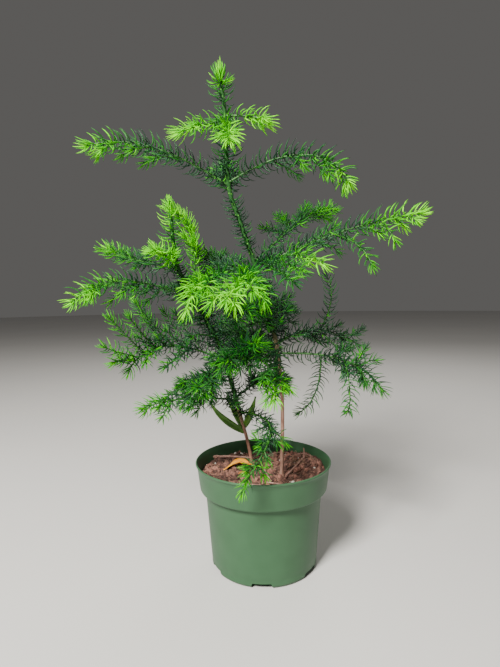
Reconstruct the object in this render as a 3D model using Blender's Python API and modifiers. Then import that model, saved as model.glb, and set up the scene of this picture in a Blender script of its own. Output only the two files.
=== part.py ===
"""Norfolk Island pine in a nursery pot: two young stems rooted together in one plastic pot.

The frame has its origin at the centre of the pot's flat underside. +Z is up, +X is the right
hand side of the plant's front view and +Y points to its back. Units are metres.
"""
import math
import random
from collections import namedtuple

import bmesh
import bpy
import numpy as np

MM = 0.001
GAP = 0.3 * MM                    # clearance between neighbouring solids

# Pot: a thin moulded nursery pot with a deep rim band.
POT_HEIGHT = 87.8 * MM
POT_RIM_RADIUS = 57.0 * MM
BAND_FOOT_Z = 65.0 * MM
BAND_FOOT_RADIUS = 53.4 * MM
BODY_TOP_RADIUS = 49.0 * MM
BASE_RADIUS = 44.2 * MM
WALL = 1.2 * MM
LIP = 0.9 * MM
POT_SIDES = 44
NOTCH_COUNT = 6
FIRST_NOTCH_AT = 265.7            # degrees, a little left of the front
NOTCH_WIDTH = 17.0 * MM
NOTCH_HEIGHT = 4.0 * MM
NOTCH_DEPTH = 3.0 * MM

# Potting mix: fills the pot to a little below the rim, with a low mound at the right.
MIX_TOP_Z = 76.5 * MM
MIX_ROUGHNESS = 1.2 * MM
MIX_MOUND = 4.0 * MM
MIX_MOUND_AT = (33.0 * MM, 6.0 * MM)
MIX_MOUND_RADIUS = 15.0 * MM
MIX_FLAT_RADIUS = 7.0 * MM        # level patch round each stem's foot
MIX_WAVES = (5.0 * MM, 6.0 * MM, 3.4 * MM)
MIX_SIDES = 28
MIX_TOP_RINGS = 7

# Stems, as smooth curves through a few places, foot first (x, y, z in millimetres).
STEM_PLACES = {
    "tall": [(15.0, -11, 76.8), (15.5, -11, 151), (6, -11, 214), (-14.8, -11, 280),
             (-25, -11, 313), (-26.7, -11, 364), (-29.3, -11, 389)],
    "leaning": [(-9.1, 17.7, 76.8), (-13.5, 15.9, 100), (-19.8, 13.9, 125), (-25.9, 11.4, 150),
                (-33.1, 9.5, 177), (-45.0, 7.4, 203), (-59.5, 4.0, 230), (-69.4, -0.1, 255),
                (-72.8, -1.8, 292)],
}
STEM_FOOT_RADIUS = {"tall": 1.55 * MM, "leaning": 1.5 * MM}
STEM_TIP_RADIUS = {"tall": 1.0 * MM, "leaning": 0.9 * MM}
ROOT_FLARE = 1.1 * MM
ROOT_FLARE_HEIGHT = 7.0 * MM
STEM_UPRIGHT_FOOT = 1.5 * MM

# Branches. Heights and lengths are in millimetres, angles in degrees. A branch leaves its stem
# at `height` along `azimuth` (0 is +X, 90 is +Y) and climbs at `rise`. Over its length it bends
# down by `droop` and sideways by `swing`, mostly near its tip. Its twigs leave both sides in a
# plane turned by `roll` about the branch, lifted by `lift`, and sag by `sag` to their tips.
Branch = namedtuple("Branch", "name stem height azimuth rise length droop swing "
                              "twigs twig_length roll lift sag tone bough")
BRANCHES = [
    Branch("tall_1_left", "tall", 363, 209, -20, 42, 2, 0, 2, 10, 0, 0, 10, "bright", 0),
    Branch("tall_1_right", "tall", 366, 345, -5, 37, 25, 0, 2, 10, 0, 0, 10, "bright", 0),
    Branch("tall_1_front", "tall", 361, 277, -29, 52, 6, -6, 2, 10, 0, 0, 10, "bright", 0),
    Branch("tall_1_back", "tall", 368, 95, 8, 38, 30, 0, 2, 10, 0, 0, 10, "bright", 0),

    Branch("tall_2_left", "tall", 313, 190, 30, 114, 48, -6, 6, 26, 0, -30, 20, "mid", 24),
    Branch("tall_2_right", "tall", 315, 353, 28, 108, 100, -23, 5, 26, 0, -35, 30, "mid", 24),
    Branch("tall_2_back", "tall", 309, 96, 36, 74, 30, 6, 4, 18, 0, -5, 15, "mid", 0),

    Branch("tall_3_right", "tall", 249, 349, 22, 134, 17, 10, 3, 22, 0, -35, 35, "mid", 26),
    Branch("tall_3_front_right", "tall", 251, 316, 11, 74, 43, -16, 1, 16, 0, -15, 25, "bright", 0),
    Branch("tall_3_front", "tall", 247, 257, -5, 101, 33, 12, 1, 22, 0, -10, 35, "bright", 20),
    Branch("tall_3_front_left", "tall", 249, 223, -7, 95, 42, 45, 1, 20, 0, -10, 35, "bright", 0),
    Branch("tall_3_back_left", "tall", 245, 126, 9, 80, -20, 0, 6, 28, 0, 0, 10, "dark", 18),
    Branch("tall_3_back_right", "tall", 252, 35, 39, 122, 37, 25, 2, 28, 0, -5, 15, "dark", 22),

    Branch("tall_4_right_mid", "tall", 188, 36, 17, 87, 74, -16, 2, 26, -20, -10, 20, "dark", 22),
    Branch("tall_4_right_low", "tall", 179, 346, 2, 93, 65, 9, 2, 24, 0, -30, 40, "dark", 20),
    Branch("tall_4_front", "tall", 183, 266, -29, 66, -6, -3, 2, 18, 0, -25, 25, "bright", 0),
    Branch("tall_4_front_left", "tall", 186, 222, 2, 58, 30, 8, 5, 22, 0, -15, 20, "dark", 0),
    Branch("tall_4_back_left", "tall", 181, 128, 18, 66, 24, 2, 5, 26, 0, 0, 15, "dark", 0),
    Branch("tall_4_back", "tall", 192, 84, 26, 86, 30, 8, 6, 30, 0, -5, 15, "dark", 0),

    Branch("leaning_1_left_back", "leaning", 249, 144, 10, 90, -13, 4, 5, 26, 0, 5, 10, "mid", 0),
    Branch("leaning_1_left_front", "leaning", 250, 247, 28, 36, 27, -3, 3, 14, 0, 0, 10, "mid", 0),
    Branch("leaning_1_upright", "leaning", 227, 182, 100, 79, 71, -11, 3, 16, 0, 10, 0, "bright", 0),
    Branch("leaning_2_left", "leaning", 223, 205, 23, 105, 71, 17, 2, 22, 0, -30, 25, "mid", 22),
    Branch("leaning_2_right", "leaning", 219, 328, 4, 62, 34, 6, 5, 24, 0, -10, 20, "dark", 0),
    Branch("leaning_2_back", "leaning", 222, 96, 22, 84, 34, 0, 6, 32, 0, -5, 15, "dark", 0),
    Branch("leaning_3_left", "leaning", 170, 202, 27, 95, 85, 32, 1, 24, -22, 20, 5, "dark", 16),
    Branch("leaning_3_front", "leaning", 166, 248, 2, 58, 36, -6, 5, 24, 0, -10, 20, "dark", 0),
    Branch("leaning_3_left_low", "leaning", 157, 152, -16, 54, -22, 3, 4, 22, 0, -5, 10, "dark", 0),
    Branch("leaning_3_right", "leaning", 173, 292, 18, 78, 9, 0, 3, 20, 0, -10, 20, "mid", 16),
    Branch("leaning_3_back", "leaning", 167, 62, 16, 84, 30, 0, 6, 30, 0, -5, 20, "dark", 0),
    Branch("leaning_4_left", "leaning", 136, 216, 12, 86, 28, -13, 2, 22, -10, -8, 15, "dark", 0),
    Branch("leaning_4_front", "leaning", 125, 306, 7, 121, 82, -136, 2, 18, 0, -15, 20, "dark", 18),
    Branch("leaning_4_back", "leaning", 138, 48, 20, 66, 30, 0, 5, 26, 0, -5, 20, "dark", 0),
]

# Twigs that stand out in the front view, placed one by one: each leaves its branch at `along`
# millimetres from the stem's middle line.
Twig = namedtuple("Twig", "branch along azimuth rise length droop swing")
TWIGS = [
    Twig("tall_3_right", 94, 315, -17, 28, 62, 1),
    Twig("tall_3_right", 66, 305, -18, 48, 54, 3),
    Twig("tall_3_right", 120, 309, -9, 12, 49, 0),
    Twig("tall_3_right", 30, 305, 9, 50, -19, 1),

    Twig("tall_3_front_right", 6, 286, -11, 75, 8, 0),
    Twig("tall_3_front_right", 13, 292, -8, 61, 10, 1),

    Twig("tall_3_front", 60, 233, -21, 36, 20, 3),
    Twig("tall_3_front", 78, 256, -14, 27, 13, 1),
    Twig("tall_3_front", 34, 287, -13, 50, 44, -6),
    Twig("tall_3_front", 50, 281, -13, 38, 12, -2),

    Twig("tall_3_front_left", 56, 261, -6, 46, 31, 3),
    Twig("tall_3_front_left", 49, 239, -9, 29, 18, 1),
    Twig("tall_3_front_left", 33, 257, -9, 54, 15, 1),

    Twig("tall_3_back_right", 50, 102, 26, 47, 13, 1),
    Twig("tall_3_back_right", 42, 114, 13, 47, -2, 1),
    Twig("tall_3_back_right", 62, 77, 26, 62, 13, 0),
    Twig("tall_3_back_right", 77, 40, 3, 27, 21, 0),

    Twig("tall_4_right_mid", 49, 296, 48, 54, -98, 10),
    Twig("tall_4_right_mid", 69, 46, -7, 42, -35, -1),
    Twig("tall_4_right_mid", 47, 315, -36, 26, -8, 0),
    Twig("tall_4_right_mid", 33, 47, -30, 34, -23, -1),

    Twig("tall_4_right_low", 35, 209, -87, 53, -75, 5),
    Twig("tall_4_right_low", 53, 266, -8, 60, 154, 6),
    Twig("tall_4_right_low", 62, 59, 18, 30, -9, 0),
    Twig("tall_4_right_low", 66, 18, 31, 17, 47, -1),
    Twig("tall_4_right_low", 59, 55, -28, 28, 25, 1),
    Twig("tall_4_right_low", 45, 55, 11, 32, 7, -1),

    Twig("tall_4_front", 9, 248, 7, 39, 20, 0),
    Twig("tall_4_front", 18, 254, 1, 51, 28, 2),
    Twig("tall_4_front", 34, 253, -9, 32, 10, 1),
    Twig("tall_4_front", 29, 290, -19, 18, 37, -2),

    Twig("leaning_2_left", 49, 204, -32, 27, 8, 0),
    Twig("leaning_2_left", 28, 214, -34, 19, 13, 0),
    Twig("leaning_2_left", 35, 135, -13, 36, 2, 0),
    Twig("leaning_2_left", 76, 252, -23, 20, 31, 1),

    Twig("leaning_3_left", 49, 203, 47, 44, -15, 0),
    Twig("leaning_3_left", 63, 227, 42, 36, -12, 1),
    Twig("leaning_3_left", 75, 226, 46, 41, 2, 1),
    Twig("leaning_3_left", 35, 160, 49, 38, -12, 0),
    Twig("leaning_3_left", 22, 140, 42, 48, -3, 1),
    Twig("leaning_3_left", 56, 125, 29, 69, -6, 3),
    Twig("leaning_3_left", 80, 236, 16, 35, -8, -1),
    Twig("leaning_3_left", 84, 227, 13, 21, 37, 0),
    Twig("leaning_3_left", 34, 255, -10, 50, 0, -2),

    Twig("leaning_3_right", 35, 287, -10, 25, -2, 0),
    Twig("leaning_3_right", 30, 334, 61, 13, 1, 0),

    Twig("leaning_4_left", 61, 257, -25, 22, -4, -1),
    Twig("leaning_4_left", 8, 285, 10, 29, 21, -1),
    Twig("leaning_4_left", 32, 138, -26, 26, 8, 0),
    Twig("leaning_4_left", 46, 146, 11, 23, 28, 0),
    Twig("leaning_4_left", 24, 161, 45, 22, 66, 1),

    Twig("leaning_4_front", 79, 142, 4, 12, -30, -1),
    Twig("leaning_4_front", 53, 126, -30, 18, 1, 0),
    Twig("leaning_4_front", 98, 54, -37, 16, 29, 0),
]
OFF_AXIS = (0.31, 0.17, 0.93)     # a direction that no shoot follows, to start its frame from
BEND_POWER = 2.0                  # how late along its length a branch bends
BOUGH_FOOT_RADIUS = 0.95 * MM
BOUGH_TIP_RADIUS = 0.75 * MM
FIRST_TWIG = 0.30                 # share of a branch's length that has no twigs
LAST_TWIG = 0.93
TWIG_SPREAD = 50.0                # degrees between a branch and its twigs
TWIG_CURL = 14.0                  # degrees that a twig turns back toward the branch's tip
TWIG_TAPER = 0.55                 # how much shorter the twigs are at a branch's tip

# Needles, larger than life: rings of points along each shoot, slanting toward its tip.
NEEDLE_REACH = 7.5 * MM
RING_PITCH = {"branch": 11.6 * MM, "twig": 11.0 * MM, "stem": 8.0 * MM}
RING_SLANT = 0.78                 # share of the pitch between a ring's roots and its points
SHOOT_CORE = 0.85 * MM
LEAST_CORE = 0.5 * MM
TWIG_ROOM = 1.6 * MM              # a twig ends where its neighbours leave it less room
SHORTEST_TWIG = 8.0 * MM
SLEEVE_WALL = 1.3 * MM
SLEEVE_REACH = 9.0 * MM
LEADER_REACH = 10.5 * MM
STEM_NEEDLE_SPANS = {             # lengths of stem that wear needles, between the whorls
    "stem_needles_tall_low": ("tall", 198, 238),
    "stem_needles_tall_mid": ("tall", 262, 303),
    "stem_needles_tall_high": ("tall", 322, 354),
    "leader_tall": ("tall", 373, 410.5),
    "stem_needles_leaning": ("leaning", 178, 219),
    "leader_leaning": ("leaning", 262, 311),
}

# Seed leaves: broad straps near the leaning stem's foot (azimuth, rise, length, droop).
SEED_LEAVES = {
    "seed_leaf_left": (176, 30, 43, -38),
    "seed_leaf_upper": (155, 60, 33, 8),
    "seed_leaf_right": (325, 62, 32, -14),
}
SEED_LEAF_HEIGHT = 106.0
SEED_LEAF_STAGGER = 2.2
SEED_LEAF_STEPS = 7
SEED_LEAF_WIDTH = 6.0 * MM
SEED_LEAF_THICKNESS = 0.8 * MM

COLOURS = {
    "pot_green": (0.085, 0.20, 0.105),
    "potting_mix": (0.10, 0.050, 0.032),
    "bark": (0.30, 0.17, 0.12),
    "green_stem": (0.07, 0.20, 0.05),
    "dark": (0.018, 0.085, 0.030),
    "mid": (0.050, 0.20, 0.035),
    "bright": (0.22, 0.55, 0.05),
    "seed_leaf": (0.09, 0.17, 0.03),
}


# ---------------------------------------------------------------- growth rule
def unit(vector):
    return vector / np.linalg.norm(vector)


def heading(azimuth, rise):
    """The unit vector that points along an azimuth and a rise, in degrees."""
    turn, tilt = math.radians(azimuth), math.radians(rise)
    return np.array([math.cos(tilt) * math.cos(turn), math.cos(tilt) * math.sin(turn),
                     math.sin(tilt)])


def smooth_curve(places, steps):
    """Points of a Catmull-Rom curve through the places, `steps` for each stretch."""
    knots = np.array(places, dtype=float)
    knots = np.vstack([2 * knots[0] - knots[1], knots, 2 * knots[-1] - knots[-2]])
    points = []
    for before, start, end, after in zip(knots, knots[1:], knots[2:], knots[3:]):
        for step in range(steps):
            t = step / steps
            points.append(0.5 * (2 * start + (end - before) * t
                                 + (2 * before - 5 * start + 4 * end - after) * t ** 2
                                 + (3 * start - before - 3 * end + after) * t ** 3))
    points.append(knots[-2])
    return np.array(points)


def stem_path(stem, steps=4):
    """A stem's middle line, upright where it leaves the ground."""
    path = smooth_curve(STEM_PLACES[stem], steps) * MM
    return np.vstack([path[:1], path[:1] + (0, 0, STEM_UPRIGHT_FOOT), path[1:]])


def stem_radius(stem, z):
    foot_z, tip_z = STEM_PLACES[stem][0][2] * MM, STEM_PLACES[stem][-1][2] * MM
    along = (z - foot_z) / (tip_z - foot_z)
    flare = ROOT_FLARE * max(0.0, 1 - (z - foot_z) / ROOT_FLARE_HEIGHT) ** 2
    return STEM_FOOT_RADIUS[stem] + (STEM_TIP_RADIUS[stem] - STEM_FOOT_RADIUS[stem]) * along + flare


def stem_point(stem, height):
    """The place on a stem's middle line at a height in millimetres, also past its tip."""
    path = stem_path(stem)
    z = height * MM
    if z > path[-1][2]:
        ahead = unit(path[-1] - path[-2])
        return path[-1] + ahead * (z - path[-1][2]) / ahead[2]
    return np.array([np.interp(z, path[:, 2], path[:, axis]) for axis in (0, 1)] + [z])


def shoot_path(foot, azimuth, rise, length, droop, swing, step=3.0 * MM):
    """Points of a shoot whose direction turns by droop and swing, mostly near its tip."""
    count = max(4, round(length / step))
    points = [np.array(foot)]
    for index in range(count):
        turned = ((index + 0.5) / count) ** BEND_POWER
        direction = heading(azimuth + swing * turned, rise - droop * turned)
        points.append(points[-1] + direction * length / count)
    return np.array(points)


def point_along(path, distance):
    """Place and direction at a distance along a path."""
    lengths = np.linalg.norm(np.diff(path, axis=0), axis=1)
    ends = np.concatenate([[0], np.cumsum(lengths)])
    place = np.array([np.interp(distance, ends, path[:, axis]) for axis in range(3)])
    index = min(int(np.searchsorted(ends, distance, side="right")) - 1, len(lengths) - 1)
    return place, unit(path[index + 1] - path[index])


def path_length(path):
    return float(np.linalg.norm(np.diff(path, axis=0), axis=1).sum())


def path_between(path, start, end, step=3.0 * MM):
    """The stretch of a path between two distances along it."""
    count = max(2, round((end - start) / step))
    return np.array([point_along(path, start + (end - start) * k / count)[0]
                     for k in range(count + 1)])


def clear_start(stem, path, thickness):
    """The distance along a path at which a flat round end comes clear of its stem's bark."""
    heights = path[0][2] / MM + np.linspace(-6, 6, 61)
    line = np.array([stem_point(stem, height) for height in heights])
    needed = stem_radius(stem, path[0][2]) + 1.2 * GAP
    distance = needed
    while distance < 12 * MM:
        place, ahead = point_along(path, distance)
        first = unit(np.cross(ahead, OFF_AXIS))
        second = np.cross(ahead, first)
        rim = [place + thickness * (math.cos(turn) * first + math.sin(turn) * second)
               for turn in np.linspace(0, math.tau, 12, endpoint=False)]
        away = np.linalg.norm(np.array(rim)[:, None, :] - line[None, :, :], axis=2)
        if away.min() >= needed:
            break
        distance += 0.1 * MM
    return distance


def branch_path(branch):
    """A branch's middle line, from just clear of its stem's bark to its tip."""
    axis_point = stem_point(branch.stem, branch.height)
    path = shoot_path(axis_point, branch.azimuth, branch.rise, branch.length * MM,
                      branch.droop, branch.swing)
    thickness = BOUGH_FOOT_RADIUS if branch.bough else SHOOT_CORE
    clear = clear_start(branch.stem, path, thickness)
    return path_between(path, clear, path_length(path))


def placed_twigs(branch, path):
    """Middle lines of the twigs that TWIGS places on a branch."""
    whole = branch.length * MM
    start = whole - path_length(path)
    return [shoot_path(point_along(path, twig.along * MM - start)[0], twig.azimuth, twig.rise,
                       twig.length * MM, twig.droop, twig.swing)
            for twig in TWIGS if twig.branch == branch.name]


def sown_twigs(branch, path):
    """Middle lines of a branch's other twigs, on alternate sides, with a fixed variation."""
    rng = random.Random(branch.name)
    total = path_length(path)
    twigs = []
    for index in range(branch.twigs):
        along = FIRST_TWIG + (LAST_TWIG - FIRST_TWIG) * (index + rng.uniform(0.3, 0.7)) / branch.twigs
        root, ahead = point_along(path, along * total)
        side = 1 if index % 2 else -1
        across = unit(np.cross(ahead, (0, 0, 1)))
        above = np.cross(across, ahead)
        roll, lift = math.radians(branch.roll), math.radians(branch.lift)
        outward = side * (math.cos(roll) * across - math.sin(roll) * above)
        outward = unit(math.cos(lift) * outward + math.sin(lift) * above)
        spread = math.radians(TWIG_SPREAD + rng.uniform(-6, 6))
        start = math.cos(spread) * ahead + math.sin(spread) * outward
        azimuth = math.degrees(math.atan2(start[1], start[0]))
        rise = math.degrees(math.asin(start[2]))
        length = branch.twig_length * MM * (1 - TWIG_TAPER * along ** 2) * rng.uniform(0.85, 1.15)
        curl = side * TWIG_CURL
        twigs.append(shoot_path(root, azimuth, rise, length, branch.sag, curl))
    return twigs


# ---------------------------------------------------------------- solids
def remove_everything():
    for item in list(bpy.data.objects):
        bpy.data.objects.remove(item, do_unlink=True)


def new_collection(name):
    collection = bpy.data.collections.new(name)
    bpy.context.scene.collection.children.link(collection)
    return collection


def make_material(name, roughness=0.6):
    material = bpy.data.materials.new(name)
    material.use_nodes = True
    shader = material.node_tree.nodes["Principled BSDF"]
    shader.inputs["Base Color"].default_value = (*COLOURS[name], 1)
    shader.inputs["Roughness"].default_value = roughness
    shader.inputs["Metallic"].default_value = 0
    return material


def mesh_object(name, bm, material, collection):
    """An object from a bmesh, whose faces are turned outward."""
    bmesh.ops.recalc_face_normals(bm, faces=bm.faces)
    mesh = bpy.data.meshes.new(name)
    bm.to_mesh(mesh)
    bm.free()
    item = bpy.data.objects.new(name, mesh)
    item.data.materials.append(material)
    collection.objects.link(item)
    return item


def limb(name, path, radii, material, collection, resolution=1):
    """A tapering round limb: a curve with a bevel and filled caps."""
    curve = bpy.data.curves.new(name, "CURVE")
    curve.dimensions = "3D"
    curve.bevel_depth = MM
    curve.bevel_resolution = resolution
    curve.use_fill_caps = True
    spline = curve.splines.new("POLY")
    spline.points.add(len(path) - 1)
    for point, place, radius in zip(spline.points, path, radii):
        point.co = (*place, 1)
        point.radius = radius / MM
    item = bpy.data.objects.new(name, curve)
    item.data.materials.append(material)
    collection.objects.link(item)
    return item


def as_mesh(item, collection):
    """The mesh of an evaluated curve object, with welded caps, in the curve's place."""
    depsgraph = bpy.context.evaluated_depsgraph_get()
    mesh = bpy.data.meshes.new_from_object(item.evaluated_get(depsgraph))
    bm = bmesh.new()
    bm.from_mesh(mesh)
    bmesh.ops.remove_doubles(bm, verts=bm.verts, dist=0.00001)
    bmesh.ops.recalc_face_normals(bm, faces=bm.faces)
    bm.to_mesh(mesh)
    bm.free()
    solid = bpy.data.objects.new(item.name + "_solid", mesh)
    solid.matrix_world = item.matrix_world
    collection.objects.link(solid)
    bpy.data.objects.remove(item, do_unlink=True)
    return solid


def apply_modifiers(item):
    depsgraph = bpy.context.evaluated_depsgraph_get()
    depsgraph.update()
    mesh = bpy.data.meshes.new_from_object(item.evaluated_get(depsgraph))
    item.modifiers.clear()
    item.data = mesh


def turned(name, profile, material, collection, sides=POT_SIDES):
    """A profile of (radius, z) pairs, listed from top to bottom outside, turned about Z."""
    bm = bmesh.new()
    corners = [bm.verts.new((radius, 0, z)) for radius, z in profile]
    for start, end in zip(corners, corners[1:]):
        bm.edges.new((start, end))
    mesh = bpy.data.meshes.new(name)
    bm.to_mesh(mesh)
    bm.free()
    item = bpy.data.objects.new(name, mesh)
    item.data.materials.append(material)
    collection.objects.link(item)
    screw = item.modifiers.new("turn", "SCREW")
    screw.steps = sides
    screw.render_steps = sides
    screw.use_merge_vertices = True
    screw.merge_threshold = 0.00001
    return item


# ---------------------------------------------------------------- pot and mix
def wall_radius(z):
    """Outer radius of the pot's wall at a height."""
    if z > BAND_FOOT_Z:
        share = (z - BAND_FOOT_Z) / (POT_HEIGHT - BAND_FOOT_Z)
        return BAND_FOOT_RADIUS + (POT_RIM_RADIUS - LIP - BAND_FOOT_RADIUS) * share
    return BASE_RADIUS + (BODY_TOP_RADIUS - BASE_RADIUS) * z / BAND_FOOT_Z


def pot_profile():
    """The pot's section: down the outside, across the base and up the inside."""
    lip_z = POT_HEIGHT - 2 * LIP
    step_z = BAND_FOOT_Z + WALL
    return [
        (wall_radius(POT_HEIGHT) + 0.3 * LIP, POT_HEIGHT),
        (POT_RIM_RADIUS, POT_HEIGHT - 0.7 * LIP),
        (POT_RIM_RADIUS, lip_z),
        (wall_radius(lip_z), lip_z - 0.5 * LIP),
        (BAND_FOOT_RADIUS + 0.3 * MM, BAND_FOOT_Z + 0.8 * MM),
        (BAND_FOOT_RADIUS - 0.5 * MM, BAND_FOOT_Z),
        (BODY_TOP_RADIUS, BAND_FOOT_Z),
        (BASE_RADIUS + 0.4 * MM, 1.2 * MM),
        (BASE_RADIUS - 0.8 * MM, 0),
        (0, 0),
        (0, WALL),
        (BASE_RADIUS - WALL, WALL),
        (BODY_TOP_RADIUS - WALL, step_z),
        (BAND_FOOT_RADIUS - WALL, step_z),
        (wall_radius(POT_HEIGHT) - WALL, POT_HEIGHT),
        (wall_radius(POT_HEIGHT) + 0.3 * LIP, POT_HEIGHT),
    ]


def build_pot(collection, cutters, material):
    """The pot, with drainage notches round the corner of its base."""
    pot = turned("pot", pot_profile(), material, collection)
    for index in range(NOTCH_COUNT):
        angle = math.radians(FIRST_NOTCH_AT) + index * math.tau / NOTCH_COUNT
        bpy.ops.mesh.primitive_cube_add(size=1)
        notch = bpy.context.object
        notch.name = f"notch_cutter_{index + 1}"
        notch.scale = (2 * NOTCH_DEPTH, NOTCH_WIDTH, 2 * NOTCH_HEIGHT)
        notch.rotation_euler = (0, 0, angle)
        notch.location = (BASE_RADIUS * math.cos(angle), BASE_RADIUS * math.sin(angle), 0)
        notch.display_type = "WIRE"
        notch.hide_render = True
        for owner in list(notch.users_collection):
            owner.objects.unlink(notch)
        cutters.objects.link(notch)
        cut = pot.modifiers.new(notch.name, "BOOLEAN")
        cut.operation = "DIFFERENCE"
        cut.object = notch
    return pot


def mix_height(x, y):
    """Top of the potting mix: rough, with a mound, and level round the stems."""
    wave_x, wave_y, wave_across = MIX_WAVES
    rough = MIX_ROUGHNESS * (math.sin(x / wave_x) * math.cos(y / wave_y)
                             + 0.6 * math.sin((x + y) / wave_across))
    away = math.hypot(x - MIX_MOUND_AT[0], y - MIX_MOUND_AT[1]) / MIX_MOUND_RADIUS
    height = rough + MIX_MOUND * math.exp(-away ** 2)
    for places in STEM_PLACES.values():
        foot = math.hypot(x - places[0][0] * MM, y - places[0][1] * MM) / MIX_FLAT_RADIUS
        height *= min(1.0, max(0.0, foot - 0.5)) if foot < 1.5 else 1.0
    return MIX_TOP_Z + height


def build_mix(collection, material):
    """The potting mix: a plug that follows the pot's inside, with a rough top."""
    step_z = BAND_FOOT_Z + WALL
    inset = WALL + 2 * GAP
    rings = [(0.0, WALL + GAP), (BASE_RADIUS - inset, WALL + GAP),
             (BODY_TOP_RADIUS - inset, step_z + GAP), (BAND_FOOT_RADIUS - inset, step_z + GAP)]
    edge = wall_radius(MIX_TOP_Z) - inset
    rings += [(edge * (MIX_TOP_RINGS - k) / MIX_TOP_RINGS, None) for k in range(MIX_TOP_RINGS + 1)]
    bm = bmesh.new()
    loops = []
    for radius, z in rings:
        if radius == 0.0:
            top = mix_height(0, 0) if z is None else z
            loops.append([bm.verts.new((0, 0, top))])
            continue
        loop = []
        for side in range(MIX_SIDES):
            angle = math.tau * side / MIX_SIDES
            x, y = radius * math.cos(angle), radius * math.sin(angle)
            height = mix_height(x, y) if z is None else z
            if z is None and radius == edge:
                height = MIX_TOP_Z
            loop.append(bm.verts.new((x, y, height)))
        loops.append(loop)
    for lower, upper in zip(loops, loops[1:]):
        for side in range(MIX_SIDES):
            after = (side + 1) % MIX_SIDES
            corners = [lower[side % len(lower)], lower[after % len(lower)],
                       upper[after % len(upper)], upper[side % len(upper)]]
            bm.faces.new(list(dict.fromkeys(corners)))
    return mesh_object("potting_mix", bm, material, collection)


# ---------------------------------------------------------------- shoots
class Neighbours:
    """Every middle line on the plant, by owner, so that each mass keeps to its own space."""

    def __init__(self):
        self.places = np.empty((0, 3))
        self.radii = np.empty(0)
        self.owners = []

    def add(self, owner, path, radius=0.0, step=2.0 * MM):
        """Adds a line. A radius of 0 marks a shoot, which shares the room beside it."""
        length = path_length(path)
        line = path_between(path, 0, length, step) if length > step else path
        self.places = np.vstack([self.places, line])
        self.radii = np.concatenate([self.radii, np.full(len(line), radius)])
        self.owners += [owner] * len(line)

    def room(self, owner, place, carrier=None):
        """How far a mass may reach from a place on its own middle line. A sleeve of needles
        also names the stem that carries it, which it may touch."""
        foreign = np.array([name not in (owner, carrier) for name in self.owners])
        away = np.linalg.norm(self.places[foreign] - place, axis=1)
        radii = self.radii[foreign]
        shared = np.where(radii > 0, away - radii - GAP, away / 2 - GAP / 2)
        return min(float(shared.min()), pot_room(place))


def pot_room(place):
    """Room between a place and the pot's rim, its wall and the potting mix."""
    around = math.hypot(place[0], place[1])
    rim = math.hypot(around - POT_RIM_RADIUS, max(0.0, place[2] - POT_HEIGHT))
    if around > POT_RIM_RADIUS:
        return rim - 2 * GAP
    above = place[2] - MIX_TOP_Z - MIX_MOUND - MIX_ROUGHNESS
    return min(rim, above) - 2 * GAP


def shoot_rings(path, pitch, reach, core, least, room):
    """Rings (place, direction, radius, whether pointed) from a shoot's foot to its last ring,
    drawn in where there is little room, but never below the least radius."""
    length = path_length(path)
    tip_length = min(pitch, length / 2)
    count = max(1, round((length - tip_length) / pitch))
    spacing = (length - tip_length) / count
    rings = []
    for index in range(count):
        rings.append((index * spacing, core, False))
        rings.append(((index + RING_SLANT) * spacing, reach, True))
    rings.append((length - tip_length, core, False))
    rings.append((length - 0.45 * tip_length, 0.6 * reach, True))
    result = []
    for distance, radius, pointed in rings:
        place, ahead = point_along(path, distance)
        result.append((place, ahead, max(least, min(radius, room(place))), pointed))
    return result, path[-1]


def loft(rings, tip, sides, core):
    """A closed spiny tube: pointed rings stand out at every corner, or at every second one
    where there are six sides, and each ring is turned a little from the one before."""
    bm = bmesh.new()
    loops = []
    side_axis = None
    for index, (place, ahead, radius, pointed) in enumerate(rings):
        if side_axis is None:
            side_axis = unit(np.cross(ahead, OFF_AXIS))
        side_axis = unit(side_axis - ahead * np.dot(side_axis, ahead))
        other_axis = np.cross(ahead, side_axis)
        loop = []
        for side in range(sides):
            angle = math.tau * side / sides + (index // 2) * math.pi / 3 * (sides == 3)
            stands_out = pointed and (sides == 3 or side % 2 == (index // 2) % 2)
            reach = radius if stands_out or not pointed else min(radius, core)
            corner = place + reach * (math.cos(angle) * side_axis + math.sin(angle) * other_axis)
            loop.append(bm.verts.new(corner))
        loops.append(loop)
    for lower, upper in zip(loops, loops[1:]):
        for side in range(sides):
            after = (side + 1) % sides
            bm.faces.new((lower[side], lower[after], upper[after], upper[side]))
    bm.faces.new(loops[0][::-1])
    if tip is None:
        bm.faces.new(loops[-1])
    else:
        point = bm.verts.new(tip)
        for side in range(sides):
            bm.faces.new((loops[-1][side], loops[-1][(side + 1) % sides], point))
    bmesh.ops.triangulate(bm, faces=bm.faces)
    return bm


def clear_length(path, owner, neighbours):
    """The length of a twig up to where another mass or limb leaves it too little room."""
    length = path_length(path)
    steps = max(4, round(length / (2 * MM)))
    for step in range(2, steps + 1):
        place, _ = point_along(path, length * step / steps)
        if neighbours.room(owner, place) < TWIG_ROOM:
            return length * (step - 1) / steps
    return length


def union_by_collection(item, parts):
    """Joins a collection's objects to an object, then removes them."""
    join = item.modifiers.new("join", "BOOLEAN")
    join.operation = "UNION"
    join.operand_type = "COLLECTION"
    join.collection = parts
    join.solver = "MANIFOLD"
    apply_modifiers(item)
    for part in list(parts.objects):
        bpy.data.objects.remove(part, do_unlink=True)
    bpy.data.collections.remove(parts)


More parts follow.
